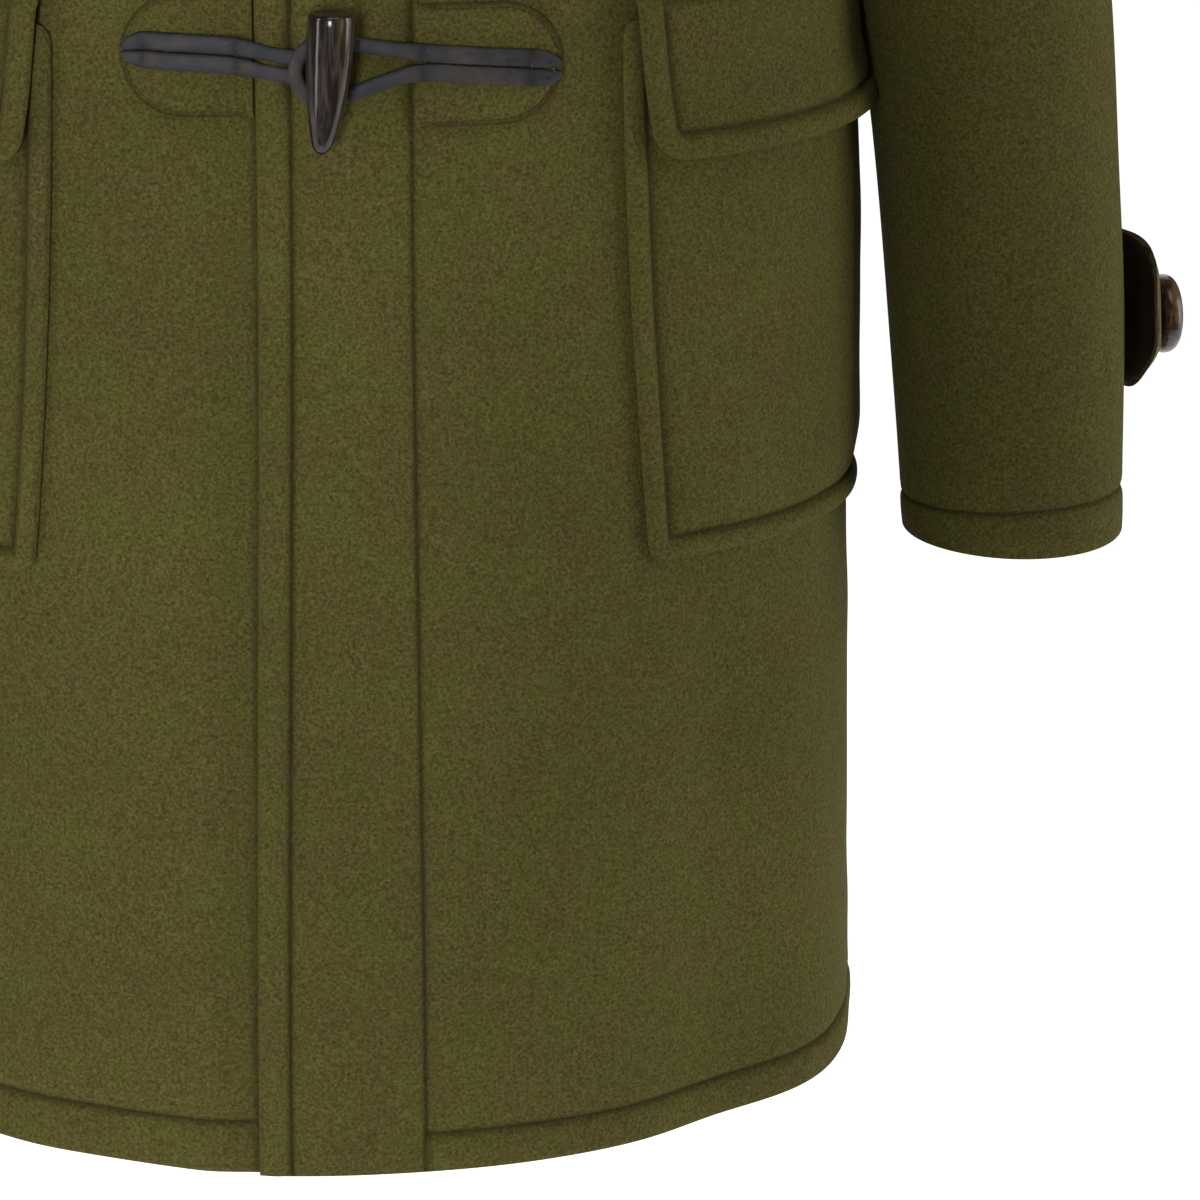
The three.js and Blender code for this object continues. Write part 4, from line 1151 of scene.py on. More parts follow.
def cuff_tab(word, side):
    """A leather tab with a round end and a raw edge, and the button on it."""
    half = CUFF_TAB["width"] / 2
    bend = 1 - half / CUFF_TAB["length"]
    radius = CUFF_TAB["thickness"] / 2
    straight = stops(edge_stops(radius) / CUFF_TAB["length"], np.linspace(0.03, bend, 34))
    rounded = bend + (1 - bend) * np.sin(np.radians(np.linspace(0, 86, 26)))[1:]
    share = np.concatenate([straight, rounded])[:, None]
    inset = edge_stops(radius) / half
    spread = stops(-1 + inset, np.linspace(-0.94, 0.94, 30), 1 - inset)[None, :]
    off = np.maximum(0, (share - bend) * CUFF_TAB["length"]) / half
    wide = half * np.maximum(0, 1 - off**2.5) ** 0.4
    height = CUFF_TAB["centre"] + spread * wide
    share = np.broadcast_to(share, height.shape)
    along = np.maximum(0, share - bend) * CUFF_TAB["length"]
    aside = spread * wide
    to_rim = np.where(share > bend, half - np.hypot(along, aside), half - np.abs(aside))
    distance = np.maximum(0, np.minimum(to_rim, share * CUFF_TAB["length"]))
    distance[-1] = 0
    sink = edge_sink(distance, radius)
    pressed = groove(distance - 4.0, 0.5, 0.9)
    outer = mirrored(tab_point(share, height, CUFF_TAB["thickness"] - sink + pressed), side)
    inner = mirrored(tab_point(share, height, sink), side)
    outer[[0, -1]] = inner[[0, -1]] = (outer[[0, -1]] + inner[[0, -1]]) / 2
    made = shell(f"cuff_tab_{word}_leather", outer, inner, [tab_leather(), cut_edge()],
                 edge_mask=distance < radius * 1.02)
    finish_piece(made, [f"cuff_tab_{word}"])
    cuff_button(word, side)


def cuff_button(word, side):
    """A turned button with a raised rim, four holes and its thread."""
    seat = tab_point(np.array(BUTTON["seat"]), np.array(CUFF_TAB["centre"]), CUFF_TAB["thickness"])
    ahead = tab_point(np.array(BUTTON["seat"] + 0.06), np.array(CUFF_TAB["centre"]), CUFF_TAB["thickness"])
    below = tab_point(np.array(BUTTON["seat"]), np.array(CUFF_TAB["centre"] - 10), CUFF_TAB["thickness"])
    out = unit(np.cross(ahead - seat, below - seat))
    out = out if out[0] > 0 else -out
    aside = unit(np.cross(out, [0, 0, 1]))
    up = np.cross(aside, out)
    seat = seat + out * LAYER_GAP
    r, t = BUTTON["radius"], BUTTON["thickness"]
    profile = spline([(0, 0, 0), (r - 6, 0, 0), (r - 2.5, 0.2, 0), (r, 2.6, 0), (r, t - 2.6, 0),
                      (r - 2, t, 0), (r - 4.6, t - 0.1, 0), (r - 7.6, t - 2, 0), (r - 11, t - 2.2, 0),
                      (0, t - 2.2, 0)], np.linspace(0, 1, 64))
    inside = profile[-1, 0] + np.linspace(r - 11, 0.01, 22)
    profile = np.concatenate([profile[:56], np.stack([inside, np.full(22, t - 2.2), inside * 0], -1)])
    turns = np.radians(np.linspace(0, 360, 72, endpoint=False))
    x = np.maximum(profile[:, 0], 0.01)[:, None] * np.cos(turns)
    z = np.maximum(profile[:, 0], 0.01)[:, None] * np.sin(turns)
    rise = np.broadcast_to(profile[:, 1][:, None], x.shape).copy()
    holes = [(2.9 * a, 2.9 * b) for a in (-1, 1) for b in (-1, 1)]
    near = np.min([np.hypot(x - a, z - b) for a, b in holes], axis=0)
    top = np.arange(len(profile))[:, None] > 50
    rise = rise - np.where(top, 2.6 * (1 - smooth(1.1, 1.7, near)), 0)
    local = np.stack([x, rise, z], -1)
    axes = np.stack([aside, out, up])
    points = mirrored(seat + local @ axes, side)
    index = np.arange(points.shape[0] * points.shape[1]).reshape(points.shape[:2])
    faces = [grid_faces(index, ring=True), index[[0]], index[[-1]][:, ::-1]]
    made = mesh_object(f"cuff_button_{word}_horn", points, faces, [button_horn()])
    finish_piece(made, [f"cuff_button_{word}"])
    bars = []
    for a in (-1.6, -1.0, 1.0, 1.6):
        ends = np.array([(a * 1.9, t - 2.0, -2.9), (a * 1.9, t - 1.6, 0), (a * 1.9, t - 2.0, 2.9)])
        line = mirrored(seat + spline(ends, np.linspace(0, 1, 9)) @ axes, side)
        bars.append(tube_points(line, np.tile(mirrored(out, side), (9, 1)), 0.45))
    join_tubes(f"cuff_button_{word}_thread", bars, thread())


def tube_points(line, out, radius, sides=8):
    """Rings round a line, for a round thread or cord."""
    tangent = unit(np.gradient(line, axis=0))
    aside = unit(np.cross(out, tangent))
    up = np.cross(tangent, aside)
    turns = np.radians(np.arange(sides) * 360 / sides)
    return line[:, None] + radius * (aside[:, None] * np.cos(turns)[:, None] + up[:, None]
                                     * np.sin(turns)[:, None])


def join_tubes(name, tubes, material, nodes=(), pressed=None):
    """One mesh of several closed tubes."""
    points, faces, caps, base = [], [], [], 0
    for rings in tubes:
        index = base + np.arange(rings.shape[0] * rings.shape[1]).reshape(rings.shape[:2])
        points.append(rings.reshape(-1, 3))
        faces.append(grid_faces(index, ring=True))
        caps.append(index[[0]][:, ::-1])
        caps.append(index[[-1]])
        base += rings.shape[0] * rings.shape[1]
    faces = [np.concatenate(faces), np.concatenate(caps)]
    made = mesh_object(name, np.concatenate(points), faces, [material], pressed)
    return finish_piece(made, nodes)


# Pockets, flaps and patches


def box_distance(x, y, width, height, low_corner, high_corner):
    """The distance in from the edge of an upright piece with round corners."""
    aside = np.minimum(x, width - x)
    up, down = y, height - y
    low = np.where((aside < low_corner) & (up < low_corner),
                   low_corner - np.hypot(low_corner - aside, low_corner - up), np.minimum(aside, up))
    if not high_corner:
        return np.minimum(low, down)
    high = np.where((aside < high_corner) & (down < high_corner),
                    high_corner - np.hypot(high_corner - aside, high_corner - down),
                    np.minimum(aside, down))
    return np.minimum(low, high)


def box_grid(width, height, border, low_corner, high_corner, columns, rows):
    """A grid over an upright piece with round corners, close together at its edge and stitching."""
    radius = 1.5
    edge = edge_stops(radius)
    turns = np.radians(np.linspace(0, 90, 12))
    low = low_corner * (1 - np.cos(turns))
    y = stops(edge, low, groove_stops(border), np.linspace(border + 6, height - border, rows),
              height - edge, height - high_corner * (1 - np.cos(turns)) if high_corner else height - 4)
    x = stops(edge, [3, 5, 7.5], groove_stops(border), np.linspace(border + 6, width - border - 6, columns),
              width - groove_stops(border), width - np.array([3, 5, 7.5]), width - edge)
    share, y = np.meshgrid(x / width, y)
    low_inset = np.where(y < low_corner,
                         low_corner - np.sqrt(np.maximum(0, low_corner**2 - (low_corner - y) ** 2)), 0)
    inset = low_inset
    if high_corner:
        down = np.minimum(height - y, high_corner)
        inset = np.maximum(inset, high_corner - np.sqrt(
            np.maximum(0, high_corner**2 - (high_corner - down) ** 2)))
    return lerp(inset, width - inset, share), y


def box_path(width, height, inset, low_corner):
    """The line of stitching down one side, along the bottom and up the other."""
    corner = max(low_corner - inset, 2.0)
    turns = np.radians(np.linspace(0, 90, 9))
    left = np.stack([np.full(60, inset), np.linspace(height - 2, inset + corner, 60)], -1)
    arc = np.stack([inset + corner * (1 - np.cos(turns)), inset + corner * (1 - np.sin(turns))], -1)
    bottom = np.stack([np.linspace(inset + corner, width - inset - corner, 60), np.full(60, inset)], -1)
    half = np.concatenate([left, arc[1:], bottom[1:30]])
    other = np.stack([width - half[::-1, 0], half[::-1, 1]], -1)
    return np.concatenate([half, other])


def slant(piece, height, side):
    """The front edge of a pocket or its flap at a height. The right ones sit nearer the centre front."""
    share = np.clip((piece["top"] - height) / (piece["top"] - piece["bottom"]), 0, 1)
    return lerp(piece["front"], piece["front_low"], share ** piece["curve"]) + POCKET_SHIFT[side]


def front_normal(across, height):
    """The way out of the cloth of the front."""
    return unit(on_front(across, height, 1.0) - on_front(across, height, 0.0))


def sewn_piece(name, piece, side, thick, border, form):
    """A pocket or a flap, with round corners and a swollen border inside a line of stitching. Its form gives
    how far it stands off, where the border is sewn, and its further relief and the places painted darker for
    pressed nap and painted shade."""
    width = piece["width"]
    tall = piece["top"] - piece["bottom"]
    x, y = box_grid(width, tall, border, piece["corner"], piece["top_corner"], 44, piece["rows"])
    height = piece["bottom"] + y
    across = side * (slant(piece, height, side) + x)
    distance = np.maximum(0, box_distance(x, y, width, tall, piece["corner"], piece["top_corner"]))
    distance[[0, -1]] = 0
    distance[:, [0, -1]] = 0
    off, sewn, relief, marks = form(x, y, height, distance)
    relief = relief + sewn * puffed(distance, border, millimetres("puff"))
    relief = relief + sewn * groove(distance - border, millimetres("groove"))
    sink = edge_sink(distance, thick / 2)
    outer = on_front(across, height, off + thick + relief * smooth(0, thick / 2, distance) - sink)
    inner = on_front(across, height, off + sink)
    pressed = np.maximum(pressed_and_shaded_line(distance - border) * sewn, marks)
    made = shell(f"{name}_cloth", outer, inner, [melton()], pressed)
    finish_piece(made, [name])


def sewn_line(piece, side, places, lift):
    """A line of stitching on a pocket or a flap, from its places across and up it."""
    height = piece["bottom"] + places[:, 1]
    across = side * (slant(piece, height, side) + places[:, 0])
    off = lift(height)
    return on_front(across, height, off), front_normal(across, height)


def pocket(word, side):
    """A patch pocket. Its border is sewn down and its middle stands off the coat."""
    cloth = millimetres("cloth")
    border = millimetres("pocket_border")
    width = POCKET["width"]
    tall = POCKET["top"] - POCKET["bottom"]

    def form(x, y, height, distance):
        sides = np.minimum(np.minimum(x, width - x), y)
        off = LAYER_GAP + POCKET["belly"] * smooth(9, 34, sides)
        waves = 0.5 * uneven(x, y, 80, 31 + side) * smooth(12, 40, distance)
        return off, smooth(tall + 1, tall - 14, y), waves, 0.0

    sewn_piece(f"pocket_{word}", POCKET, side, cloth, border, form)
    path = box_path(width, tall, border, POCKET["corner"])
    return sewn_line(POCKET, side, path, lambda height: LAYER_GAP + cloth - stitch_depth())


def flap_lift(height):
    """How far the flap stands off the coat, from its sewn top to its free edge."""
    over = LAYER_GAP + millimetres("cloth") + POCKET["belly"]
    rise = over * smooth(FLAP["top"], POCKET["top"] + 5, height)
    return LAYER_GAP + rise + FLAP["flare"] * smooth(-455, FLAP["bottom"], height)


def flap(word, side):
    """The flap hangs over the pocket's mouth, and its free edge lifts a little."""
    thick = FLAP["thickness"]
    border = millimetres("flap_border")
    width = FLAP["width"]
    tall = FLAP["top"] - FLAP["bottom"]
    seam = tall - FLAP["seam"]

    def form(x, y, height, distance):
        waves = 0.5 * uneven(x, y, 70, 41 + side)
        relief = waves + groove(seam - y, FLAP["seam_depth"])
        return flap_lift(height), smooth(tall, tall - 16, y), relief, pressed_and_shaded_line(seam - y)

    sewn_piece(f"pocket_flap_{word}", FLAP, side, thick, border, form)
    path = box_path(width, tall, border, FLAP["corner"])
    top = np.stack([np.linspace(2, width - 2, 80), np.full(80, seam)], -1)
    return [
        sewn_line(FLAP, side, path, lambda height: flap_lift(height) + thick - stitch_depth()),
        sewn_line(FLAP, side, top, lambda height: flap_lift(height) + thick - FLAP["seam_depth"] + 0.2),
    ]


def patch_edges(side, centre):
    """Where a fastening's patch starts and ends, across from the centre."""
    near = (strip_edge(centre) if side > 0 else -fly_edge(centre)) + LAYER_GAP
    return near, PATCH["left_reach"] if side > 0 else PATCH["right_reach"]


def fastening_patch(word, side, number, centre):
    """A cloth patch with one round end, sewn down close to its edge, under the leather."""
    half = PATCH["height"] / 2
    near, reach = patch_edges(side, centre)
    thick = PATCH["thickness"]
    turn = np.radians(np.linspace(-90, 90, 49))[:, None]
    y = half * np.sin(turn)
    end = reach - half * (1 - np.cos(turn))
    places = (1 - np.cos(np.linspace(0, np.pi, 42))) / 2
    across = near + (end - near) * places[None, :]
    y = np.broadcast_to(y, across.shape)
    from_end = np.where(across > reach - half, half - np.hypot(across - reach + half, y), half - np.abs(y))
    distance = np.maximum(0, np.minimum(from_end, across - near))
    distance[[0, -1]] = 0
    distance[:, [0, -1]] = 0
    sink = edge_sink(distance, thick / 2)
    sunk = dip(-across) if side < 0 else np.zeros_like(across)
    sewn = smooth(0, 6, across - near)
    relief = (groove(from_end - 2.4, 0.7, 0.9) * sewn + 0.12 * uneven(across, y, 25, number)) \
        * smooth(0, thick / 2, distance)
    base = LAYER_GAP + sunk
    outer = on_front(side * across, centre + y, base + thick + relief - sink)
    inner = on_front(side * across, centre + y, base + sink)
    name = f"patch_{word}_{number}"
    # A painted shadow round the patch's edge, where it stands on the front.
    pressed = 3.0 * pressed_and_shaded_line(np.maximum(from_end, 0), 1.1) * sewn
    made = shell(f"{name}_cloth", outer, inner, [melton()], pressed)
    finish_piece(made, [name])
    inset = half - 2.4
    arc = np.radians(np.linspace(-90, 90, 40))
    x = np.concatenate([np.linspace(near + 2, reach - half, 20), reach - half + inset * np.cos(arc),
                        np.linspace(reach - half, near + 2, 20)])
    y = np.concatenate([np.full(20, -inset), inset * np.sin(arc), np.full(20, inset)])
    lift = LAYER_GAP + thick - 0.3 + (dip(-x) if side < 0 else 0)
    return on_front(side * x, centre + y, lift), front_normal(side * x, centre + y)


# Fastenings


def thong_line(route, turn, centre, lift=0.0):
    """The places of a thong that is folded in two: out, round its turn and back."""
    bend = np.radians([30, 60, 90, 120, 150])
    last = {name: column[-1] for name, column in route.items()}
    across = [route["across"], last["across"] + turn["reach"] * np.sin(bend), route["across"][::-1]]
    height = [route["middle"] + route["apart"], last["middle"] + last["apart"] * np.cos(bend),
              (route["middle"] - route["apart"])[::-1]]
    off = [route["lift"], last["lift"] + turn["lift"] * np.sin(bend), route["lift"][::-1]]
    across, height, off = (np.concatenate(part) for part in (across, height, off))
    return on_front(across, centre + height, off + lift)


def thong(name, route, turn, bars, centre):
    """A rounded leather thong, sewn across at its bars and cut to one tip with its other half."""
    shares = np.linspace(0, 1, 190)
    line = spline(thong_line(route, turn, centre), shares)
    above = spline(thong_line(route, turn, centre, 1.0), shares)
    tangent = unit(np.gradient(line, axis=0))
    aside = unit(np.cross(above - line, tangent))
    up = unit(np.cross(tangent, aside))
    tip = route["across"][0]
    from_tip = np.abs(line[:, 0] - tip)
    taper = np.sqrt(np.clip(1 - (1 - from_tip / 11) ** 2, 0.02, 1))
    taper = np.where(from_tip > 11, 1, taper)
    free = smooth(abs(bars[1]) - 1, abs(bars[1]) - 12, np.abs(line[:, 0]))
    width = THONG["width"] * lerp(1, 0.84, free) * taper
    thick = THONG["thickness"] * lerp(1, 1.12, free) * lerp(0.55, 1, taper)
    for bar in bars:
        thick = thick - 0.9 * np.exp(-(((line[:, 0] - bar) / 1.1) ** 2))
    turns = np.radians(np.linspace(0, 360, 16, endpoint=False))
    x = 0.5 * np.sign(np.cos(turns)) * np.abs(np.cos(turns)) ** 0.62
    y = 0.5 * np.sign(np.sin(turns)) * np.abs(np.sin(turns)) ** 0.8
    rings = line[:, None] + aside[:, None] * x[:, None] * width[:, None, None]
    rings = rings + up[:, None] * y[:, None] * thick[:, None, None]
    # The leather is painted darker at the bars, for its pinch and the painted shade there.
    marks = sum(pressed_and_shaded_line(line[:, 0] - bar, 2.6) for bar in bars)
    pressed = np.repeat(np.minimum(marks, 1), rings.shape[1])
    join_tubes(f"{name}_leather", [rings], waxed_leather(), [name], pressed)


def thong_sewing(route, bars, centre, round_end):
    """The bars of thread across a pair of thongs, and the arc round its tip."""
    middle, lift = curve_of(route, "middle"), curve_of(route, "lift")
    lines = []
    for bar in bars:
        y = np.linspace(-2 * PAIR + 0.6, 2 * PAIR - 0.6, 24)
        crown = lift(bar) + 0.72 - 0.35 * (np.abs(y) > PAIR)
        x = np.full_like(y, bar)
        height = centre + middle(bar) + y
        lines.append((on_front(x, height, crown), front_normal(x, height)))
    if round_end:
        tip = route["across"][0]
        turn = np.radians(np.linspace(-64, 64, 20))
        x = tip - 9.5 + 6.4 * np.cos(turn)
        y = 5.6 * np.sin(turn)
        lines.append((on_front(x, centre + middle(x) + y, lift(x) + THONG["thickness"] / 2 - 0.15),
                      front_normal(x, centre + middle(x) + y)))
    return lines


def curve_of(route, name):
    """A route's column as a curve of the distance across."""
    order = np.argsort(route["across"])
    return lambda at: np.interp(at, route["across"][order], route[name][order])


def toggle(number, centre):
    """A horn toggle, cut flat at its thick end, that hangs down and leans in."""
    top = centre + TOGGLE["above"]
    width_at = curve(TOGGLE_FORM, "down", "width")
    down = stops(np.linspace(0, 0.08, 7), np.linspace(0.08, 0.9, 30), 0.9 + 0.1 * np.sin(
        np.radians(np.linspace(0, 90, 16))))
    across = lerp(1.4, -3.4, down**1.4)
    middle = on_front(across, top - TOGGLE["length"] * down, lerp(TOGGLE["lift"], TOGGLE["tip_lift"], down))
    turns = np.radians(np.linspace(0, 360, 48, endpoint=False))
    rim = np.stack([np.cos(turns), np.sin(turns), 0 * turns], -1)
    oval = 1 + 0.035 * np.cos(2 * turns + number) + 0.02 * np.cos(3 * turns + 2 * number)
    radius = TOGGLE["radius"] * np.clip(width_at(down), 0.02, 1)
    rings = middle[:, None] + rim * (radius[:, None, None] * oval[:, None])
    cap_sizes = np.array([0.12, 0.45, 0.7, 0.84, 0.9])
    dish = np.array([-0.5, -0.35, -0.1, 0.1, 0.12])
    cap = middle[:1, None] + rim * (TOGGLE["radius"] * 0.86 * cap_sizes[:, None, None] * oval[:, None])
    cap = cap + np.array([0, 0, 1.0]) * dish[:, None, None]
    join_tubes(f"toggle_{number}_horn", [np.concatenate([cap, rings])], polished_horn(),
               [f"toggle_{number}"])


# Hood


def walk_from_neck(degrees):
    """Walks over the body from the neckline, each out and down in one upright plane."""
    turn = np.pi - np.radians(degrees)
    heading = np.radians(HOOD_AT["heading"](degrees))
    aside = np.stack([np.cos(heading), -np.sin(heading), 0 * heading], -1)
    step = 2.0
    level = np.zeros_like(turn)
    turns, levels = [turn], [level]
    for _ in range(160):
        around, up = body_tangents(turn, level)
        drift = -(up * aside).sum(-1) / np.where(np.abs((around * aside).sum(-1)) < 1e-9, 1e-9,
                                                 (around * aside).sum(-1))
        down = -step / np.linalg.norm(up + around * drift[..., None], axis=-1)
        turn, level = turn + drift * down, level + down
        turns.append(turn)
        levels.append(level)
    turns, levels = np.array(turns), np.array(levels)

    def place(out, lift):
        i = np.clip(np.floor(out / step).astype(int), 0, len(turns) - 2)
        share = out / step - i
        column = np.arange(turns.shape[1])[:, None]
        turn = lerp(turns[i, column], turns[i + 1, column], share)
        level = lerp(levels[i, column], levels[i + 1, column], share)
        return body_base(turn, level) + body_normal(turn, level) * lift[..., None]

    return place


def hood_profiles(angles, shares):
    """How far out from the neck and how high off the coat the hood runs, at each angle."""
    roll, reach, depth = (HOOD_AT[k](angles) for k in ("roll_height", "bag_reach", "bag_depth"))
    rim_x, rim_y = HOOD_AT["rim_reach"](angles), HOOD_AT["rim_height"](angles)
    low = HOOD_CLEARANCE

    def out(share):
        return lerp(36, reach, share)

    one = np.ones_like(angles)
    folded = [
        (-2.6 * one, -2 * one), (-1.6 * one, roll * 0.5), (6 * one, roll * 0.9), (18 * one, roll),
        (30 * one, roll * 0.84), (out(0.13), roll * 0.35 + low * 0.6), (out(0.5), low * one),
        (out(0.9), low + depth * 0.06), (reach, low + depth * 0.5), (out(0.9), low + depth * 0.95),
        (out(0.6), low + depth * 1.08), (lerp(out(0.3), rim_x, 0.4), lerp(low + depth, rim_y, 0.6)),
        (rim_x, rim_y),
    ]
    points = np.stack([np.stack([x, y, 0 * x], -1) for x, y in folded], 1)
    end = lerp(1, 0.6, smooth(95, 150, angles))
    return np.stack([spline(points[i], shares * end[i]) for i in range(len(angles))])


def hood_half(word, side):
    """Half of the hood, lying down on the back, with a stitched band at its rim."""
    cloth = millimetres("cloth")
    radius = cloth / 2
    angles = stops(HOOD_SEAM + np.array([0, 0.15, 0.5, 1.1, 2.0]), np.linspace(3.4, HOOD_SPAN - 3, 84),
                   HOOD_SPAN - np.array([0, 0.3, 0.9, 1.6]))
    shares = stops(np.array([0, 0.0006, 0.002, 0.004, 0.008]), np.linspace(0.014, 0.93, 92),
                   np.linspace(0.93, 0.992, 16), 1 - np.array([0, 0.0006, 0.002, 0.004]))
    profiles = hood_profiles(angles, shares)
    sheet = walk_from_neck(angles)(profiles[..., 0], profiles[..., 1])
    normal = unit(np.cross(np.gradient(sheet, axis=0), np.gradient(sheet, axis=1)))
    normal[0, :, 0] = 0
    normal = unit(normal)
    if np.mean(normal[:, 10, 2]) < 0 or normal[4, 8, 1] > 0:
        normal = -normal
    steps = np.linalg.norm(np.diff(sheet, axis=1), axis=-1)
    run = np.concatenate([np.zeros((len(angles), 1)), np.cumsum(steps, axis=1)], axis=1)
    from_rim = run[:, -1:] - run
    side_steps = np.linalg.norm(np.diff(sheet, axis=0), axis=-1)
    from_seam = np.concatenate([np.zeros((1, len(shares))), np.cumsum(side_steps, axis=0)], axis=0)
    from_front = from_seam[-1:] - from_seam
    distance = np.minimum(np.minimum(run, from_rim), np.minimum(from_seam, from_front))
    round_off = edge_sink(distance, radius)
    band = millimetres("band")
    line = groove(from_rim - band, millimetres("groove")) + puffed(from_rim, band, millimetres("puff"))
    creases = 0.7 * uneven(angles[:, None] * 2.2, run, 90, 51)
    for middle, share, wide, tall, depth, lean in zip(*HOOD_CREASES.values()):
        x = angles[:, None] - middle - lean * (shares[None, :] - share)
        creases = creases + depth * np.exp(-((x / wide) ** 2) - ((shares[None, :] - share) / tall) ** 2)
    quiet = smooth(0, 22, distance)
    creases = creases * quiet * bpy.context.scene.coat_sizes.folds
    relief = (line + seam_valley(from_seam)) * smooth(0, radius, distance)
    # The side that shows is the outside of the bag, which the profile keeps on its right.
    outward = -normal
    face = sheet + outward * creases[..., None]
    outer = mirrored(face + outward * (radius - round_off + relief)[..., None], side)
    inner = mirrored(face - outward * (radius - round_off)[..., None], side)
    pressed = pressed_and_shaded_line(from_rim - band)
    made = shell(f"hood_{word}_cloth", outer, inner, [melton()], pressed)
    finish_piece(made, [f"hood_{word}"])


# Operators


class COAT_OT_fronts(bpy.types.Operator):
    """Both fronts and the back, with their sewing"""

    bl_idname = "coat.fronts"
    bl_label = "Fronts and back"

    def execute(self, context):
        front_left()
        front_right()
        back()
        front_sewing()
        return {"FINISHED"}


class COAT_OT_sleeves(bpy.types.Operator):
    """Both sleeves with their cuffs' sewing"""

    bl_idname = "coat.sleeves"
    bl_label = "Sleeves"

    def execute(self, context):
        lines = [sleeve("left", 1), sleeve("right", -1)]
        stitches("cuff_stitches", lines, thread())
        return {"FINISHED"}


class COAT_OT_cuff_tabs(bpy.types.Operator):
    """The cuffs' leather tabs and their buttons"""

    bl_idname = "coat.cuff_tabs"
    bl_label = "Cuff tabs"

    def execute(self, context):
        cuff_tab("left", 1)
        cuff_tab("right", -1)
        return {"FINISHED"}


class COAT_OT_pockets(bpy.types.Operator):
    """The patch pockets and their flaps"""

    bl_idname = "coat.pockets"
    bl_label = "Pockets"

    def execute(self, context):
        lines = []
        for word, side in (("left", 1), ("right", -1)):
            lines.append(pocket(word, side))
            lines.extend(flap(word, side))
        stitches("pocket_stitches", lines, thread())
        return {"FINISHED"}


class COAT_OT_fastenings(bpy.types.Operator):
    """The patches, thongs and toggles of the three fastenings"""

    bl_idname = "coat.fastenings"
    bl_label = "Fastenings"

    def execute(self, context):
        outlines, bars = [], []
        for number, centre in enumerate(TOGGLE_HEIGHTS, 1):
            outlines.append(fastening_patch("left", 1, number, centre))
            outlines.append(fastening_patch("right", -1, number, centre + PATCH["drop"]))
            thong(f"loop_thong_{number}", LOOP_ROUTE, LOOP_TURN, LOOP_BARS, centre)
            thong(f"toggle_thong_{number}", HOLDER_ROUTE, HOLDER_TURN, HOLDER_BARS, centre)
            bars.extend(thong_sewing(LOOP_ROUTE, LOOP_BARS, centre, True))
            bars.extend(thong_sewing(HOLDER_ROUTE, HOLDER_BARS, centre, False))
            toggle(number, centre)
        stitches("patch_stitches", outlines, thread())
        stitches("thong_stitches", bars, waxed_leather(), radius=0.5, fill=0.8)
        return {"FINISHED"}


class COAT_OT_hood(bpy.types.Operator):
    """The hood's two halves, lying on the back"""

    bl_idname = "coat.hood"
    bl_label = "Hood"

    def execute(self, context):
        hood_half("left", 1)
        hood_half("right", -1)
        return {"FINISHED"}


class COAT_OT_stage(bpy.types.Operator):
    """The pale floor, the studio's lamps and the camera"""

    bl_idname = "coat.stage"
    bl_label = "Stage"

    def execute(self, context):
        floor()
        lamps()
        camera()
        return {"FINISHED"}


def floor():
    """A plain white floor below the coat."""
    count = FLOOR["points"]
    aside = np.linspace(-FLOOR["reach"], FLOOR["reach"], count)
    x, y = np.meshgrid(aside, np.linspace(FLOOR["front"], FLOOR["reach"], count))
    points = np.stack([x, y, np.full_like(x, FLOOR["level"])], -1)
    index = np.arange(count * count).reshape(count, count)
    made = mesh_object("studio_floor", points, grid_faces(index), [studio_floor()])


def lamp(name, place, size, power, aim, spread):
    """A soft rectangular lamp that points at a place on the coat, with a grid that narrows its beam."""
    data = bpy.data.lights.new(name, "AREA")
    data.shape = "RECTANGLE"
    data.size, data.size_y = size
    data.energy = power
    data.spread = math.radians(spread)
    made = bpy.data.objects.new(name, data)
    bpy.context.scene.collection.objects.link(made)
    made.location = place
    made.rotation_euler = (Vector(aim) - Vector(place)).to_track_quat("-Z", "Y").to_euler()
    made.visible_camera = False


def studio_air():
    """A white backdrop for the camera, and a weaker even light for the coat."""
    world = bpy.data.worlds.new("studio_air")
    world.use_nodes = True
    tree = world.node_tree
    tree.nodes.clear()
    seen = add(tree, "ShaderNodeLightPath").outputs["Is Camera Ray"]
    strength = ranged(tree, seen, 0, 1, AIR["light"], AIR["seen"])
    air = add(tree, "ShaderNodeBackground", {"Color": (1, 1, 1, 1), "Strength": strength})
    add(tree, "ShaderNodeOutputWorld", {"Surface": air.outputs["Background"]})
    bpy.context.scene.world = world


def lamps():
    """The studio's air and its lamps."""
    bpy.context.scene.view_settings.view_transform = "Standard"
    studio_air()
    for row in LAMPS:
        lamp(*row)


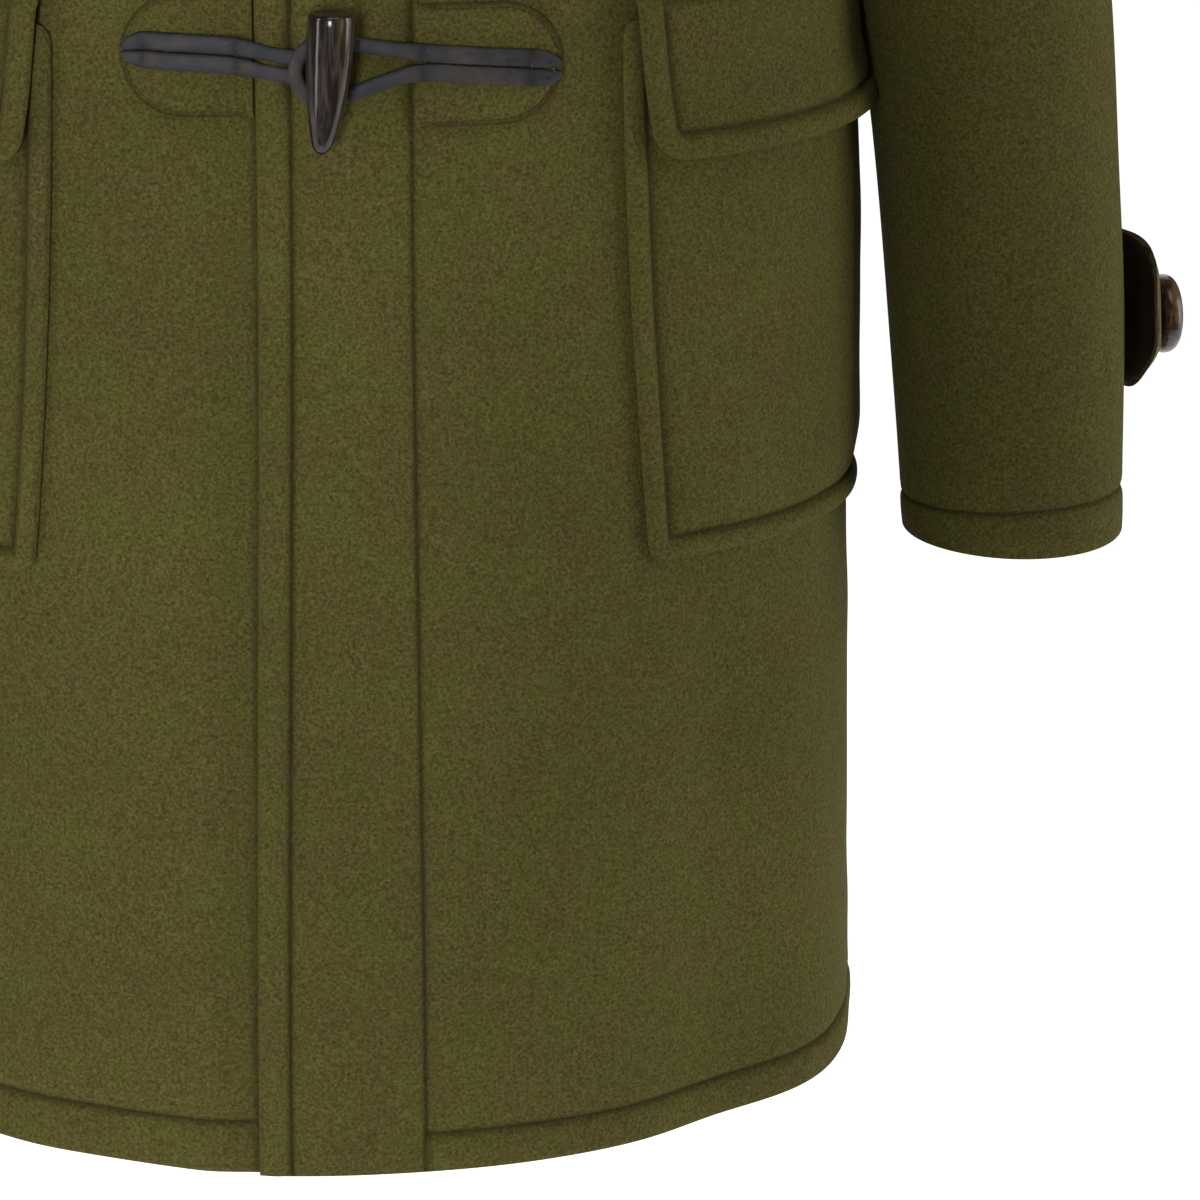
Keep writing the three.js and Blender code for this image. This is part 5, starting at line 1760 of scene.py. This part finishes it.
def camera():
    """The photograph's camera."""
    data = bpy.data.cameras.new("photo_camera")
    data.lens = CAMERA["lens"]
    data.sensor_width = CAMERA["sensor"]
    data.clip_end = CAMERA["sees_to"]
    made = bpy.data.objects.new("photo_camera", data)
    bpy.context.scene.collection.objects.link(made)
    place, aim = Vector(CAMERA["place"]), Vector(CAMERA["aim"])
    ahead = (aim - place).normalized()
    right = ahead.cross(Vector((0, 0, 1))).normalized()
    up = right.cross(ahead)
    roll = math.radians(CAMERA["roll"])
    rolled_right = right * math.cos(roll) + up * math.sin(roll)
    rolled_up = up * math.cos(roll) - right * math.sin(roll)
    turned = Matrix((rolled_right, rolled_up, -ahead)).transposed()
    made.matrix_world = Matrix.Translation(place) @ turned.to_4x4()
    bpy.context.scene.camera = made


OPERATORS = (COAT_OT_fronts, COAT_OT_hood, COAT_OT_sleeves, COAT_OT_cuff_tabs, COAT_OT_pockets,
             COAT_OT_fastenings, COAT_OT_stage)


class COAT_PT_panel(bpy.types.Panel):
    """The coat's pieces, sizes and colours"""

    bl_idname = "COAT_PT_panel"
    bl_label = "Duffle coat"
    bl_space_type = "VIEW_3D"
    bl_region_type = "UI"
    bl_category = "Coat"

    def draw(self, context):
        for operator in OPERATORS:
            self.layout.operator(operator.bl_idname)
        for group in (context.scene.coat_sizes, context.scene.coat_colours):
            for name in group.__annotations__:
                self.layout.prop(group, name)


CLASSES = (CoatSizes, CoatColours, *OPERATORS, COAT_PT_panel)


def register():
    for each in CLASSES:
        bpy.utils.register_class(each)
    bpy.types.Scene.coat_sizes = bpy.props.PointerProperty(type=CoatSizes)
    bpy.types.Scene.coat_colours = bpy.props.PointerProperty(type=CoatColours)


def unregister():
    del bpy.types.Scene.coat_colours
    del bpy.types.Scene.coat_sizes
    for each in reversed(CLASSES):
        bpy.utils.unregister_class(each)


def main():
    """Makes every piece."""
    register()
    for operator in OPERATORS:
        area, name = operator.bl_idname.split(".")
        getattr(getattr(bpy.ops, area), name)()


if __name__ == "__main__":
    main()
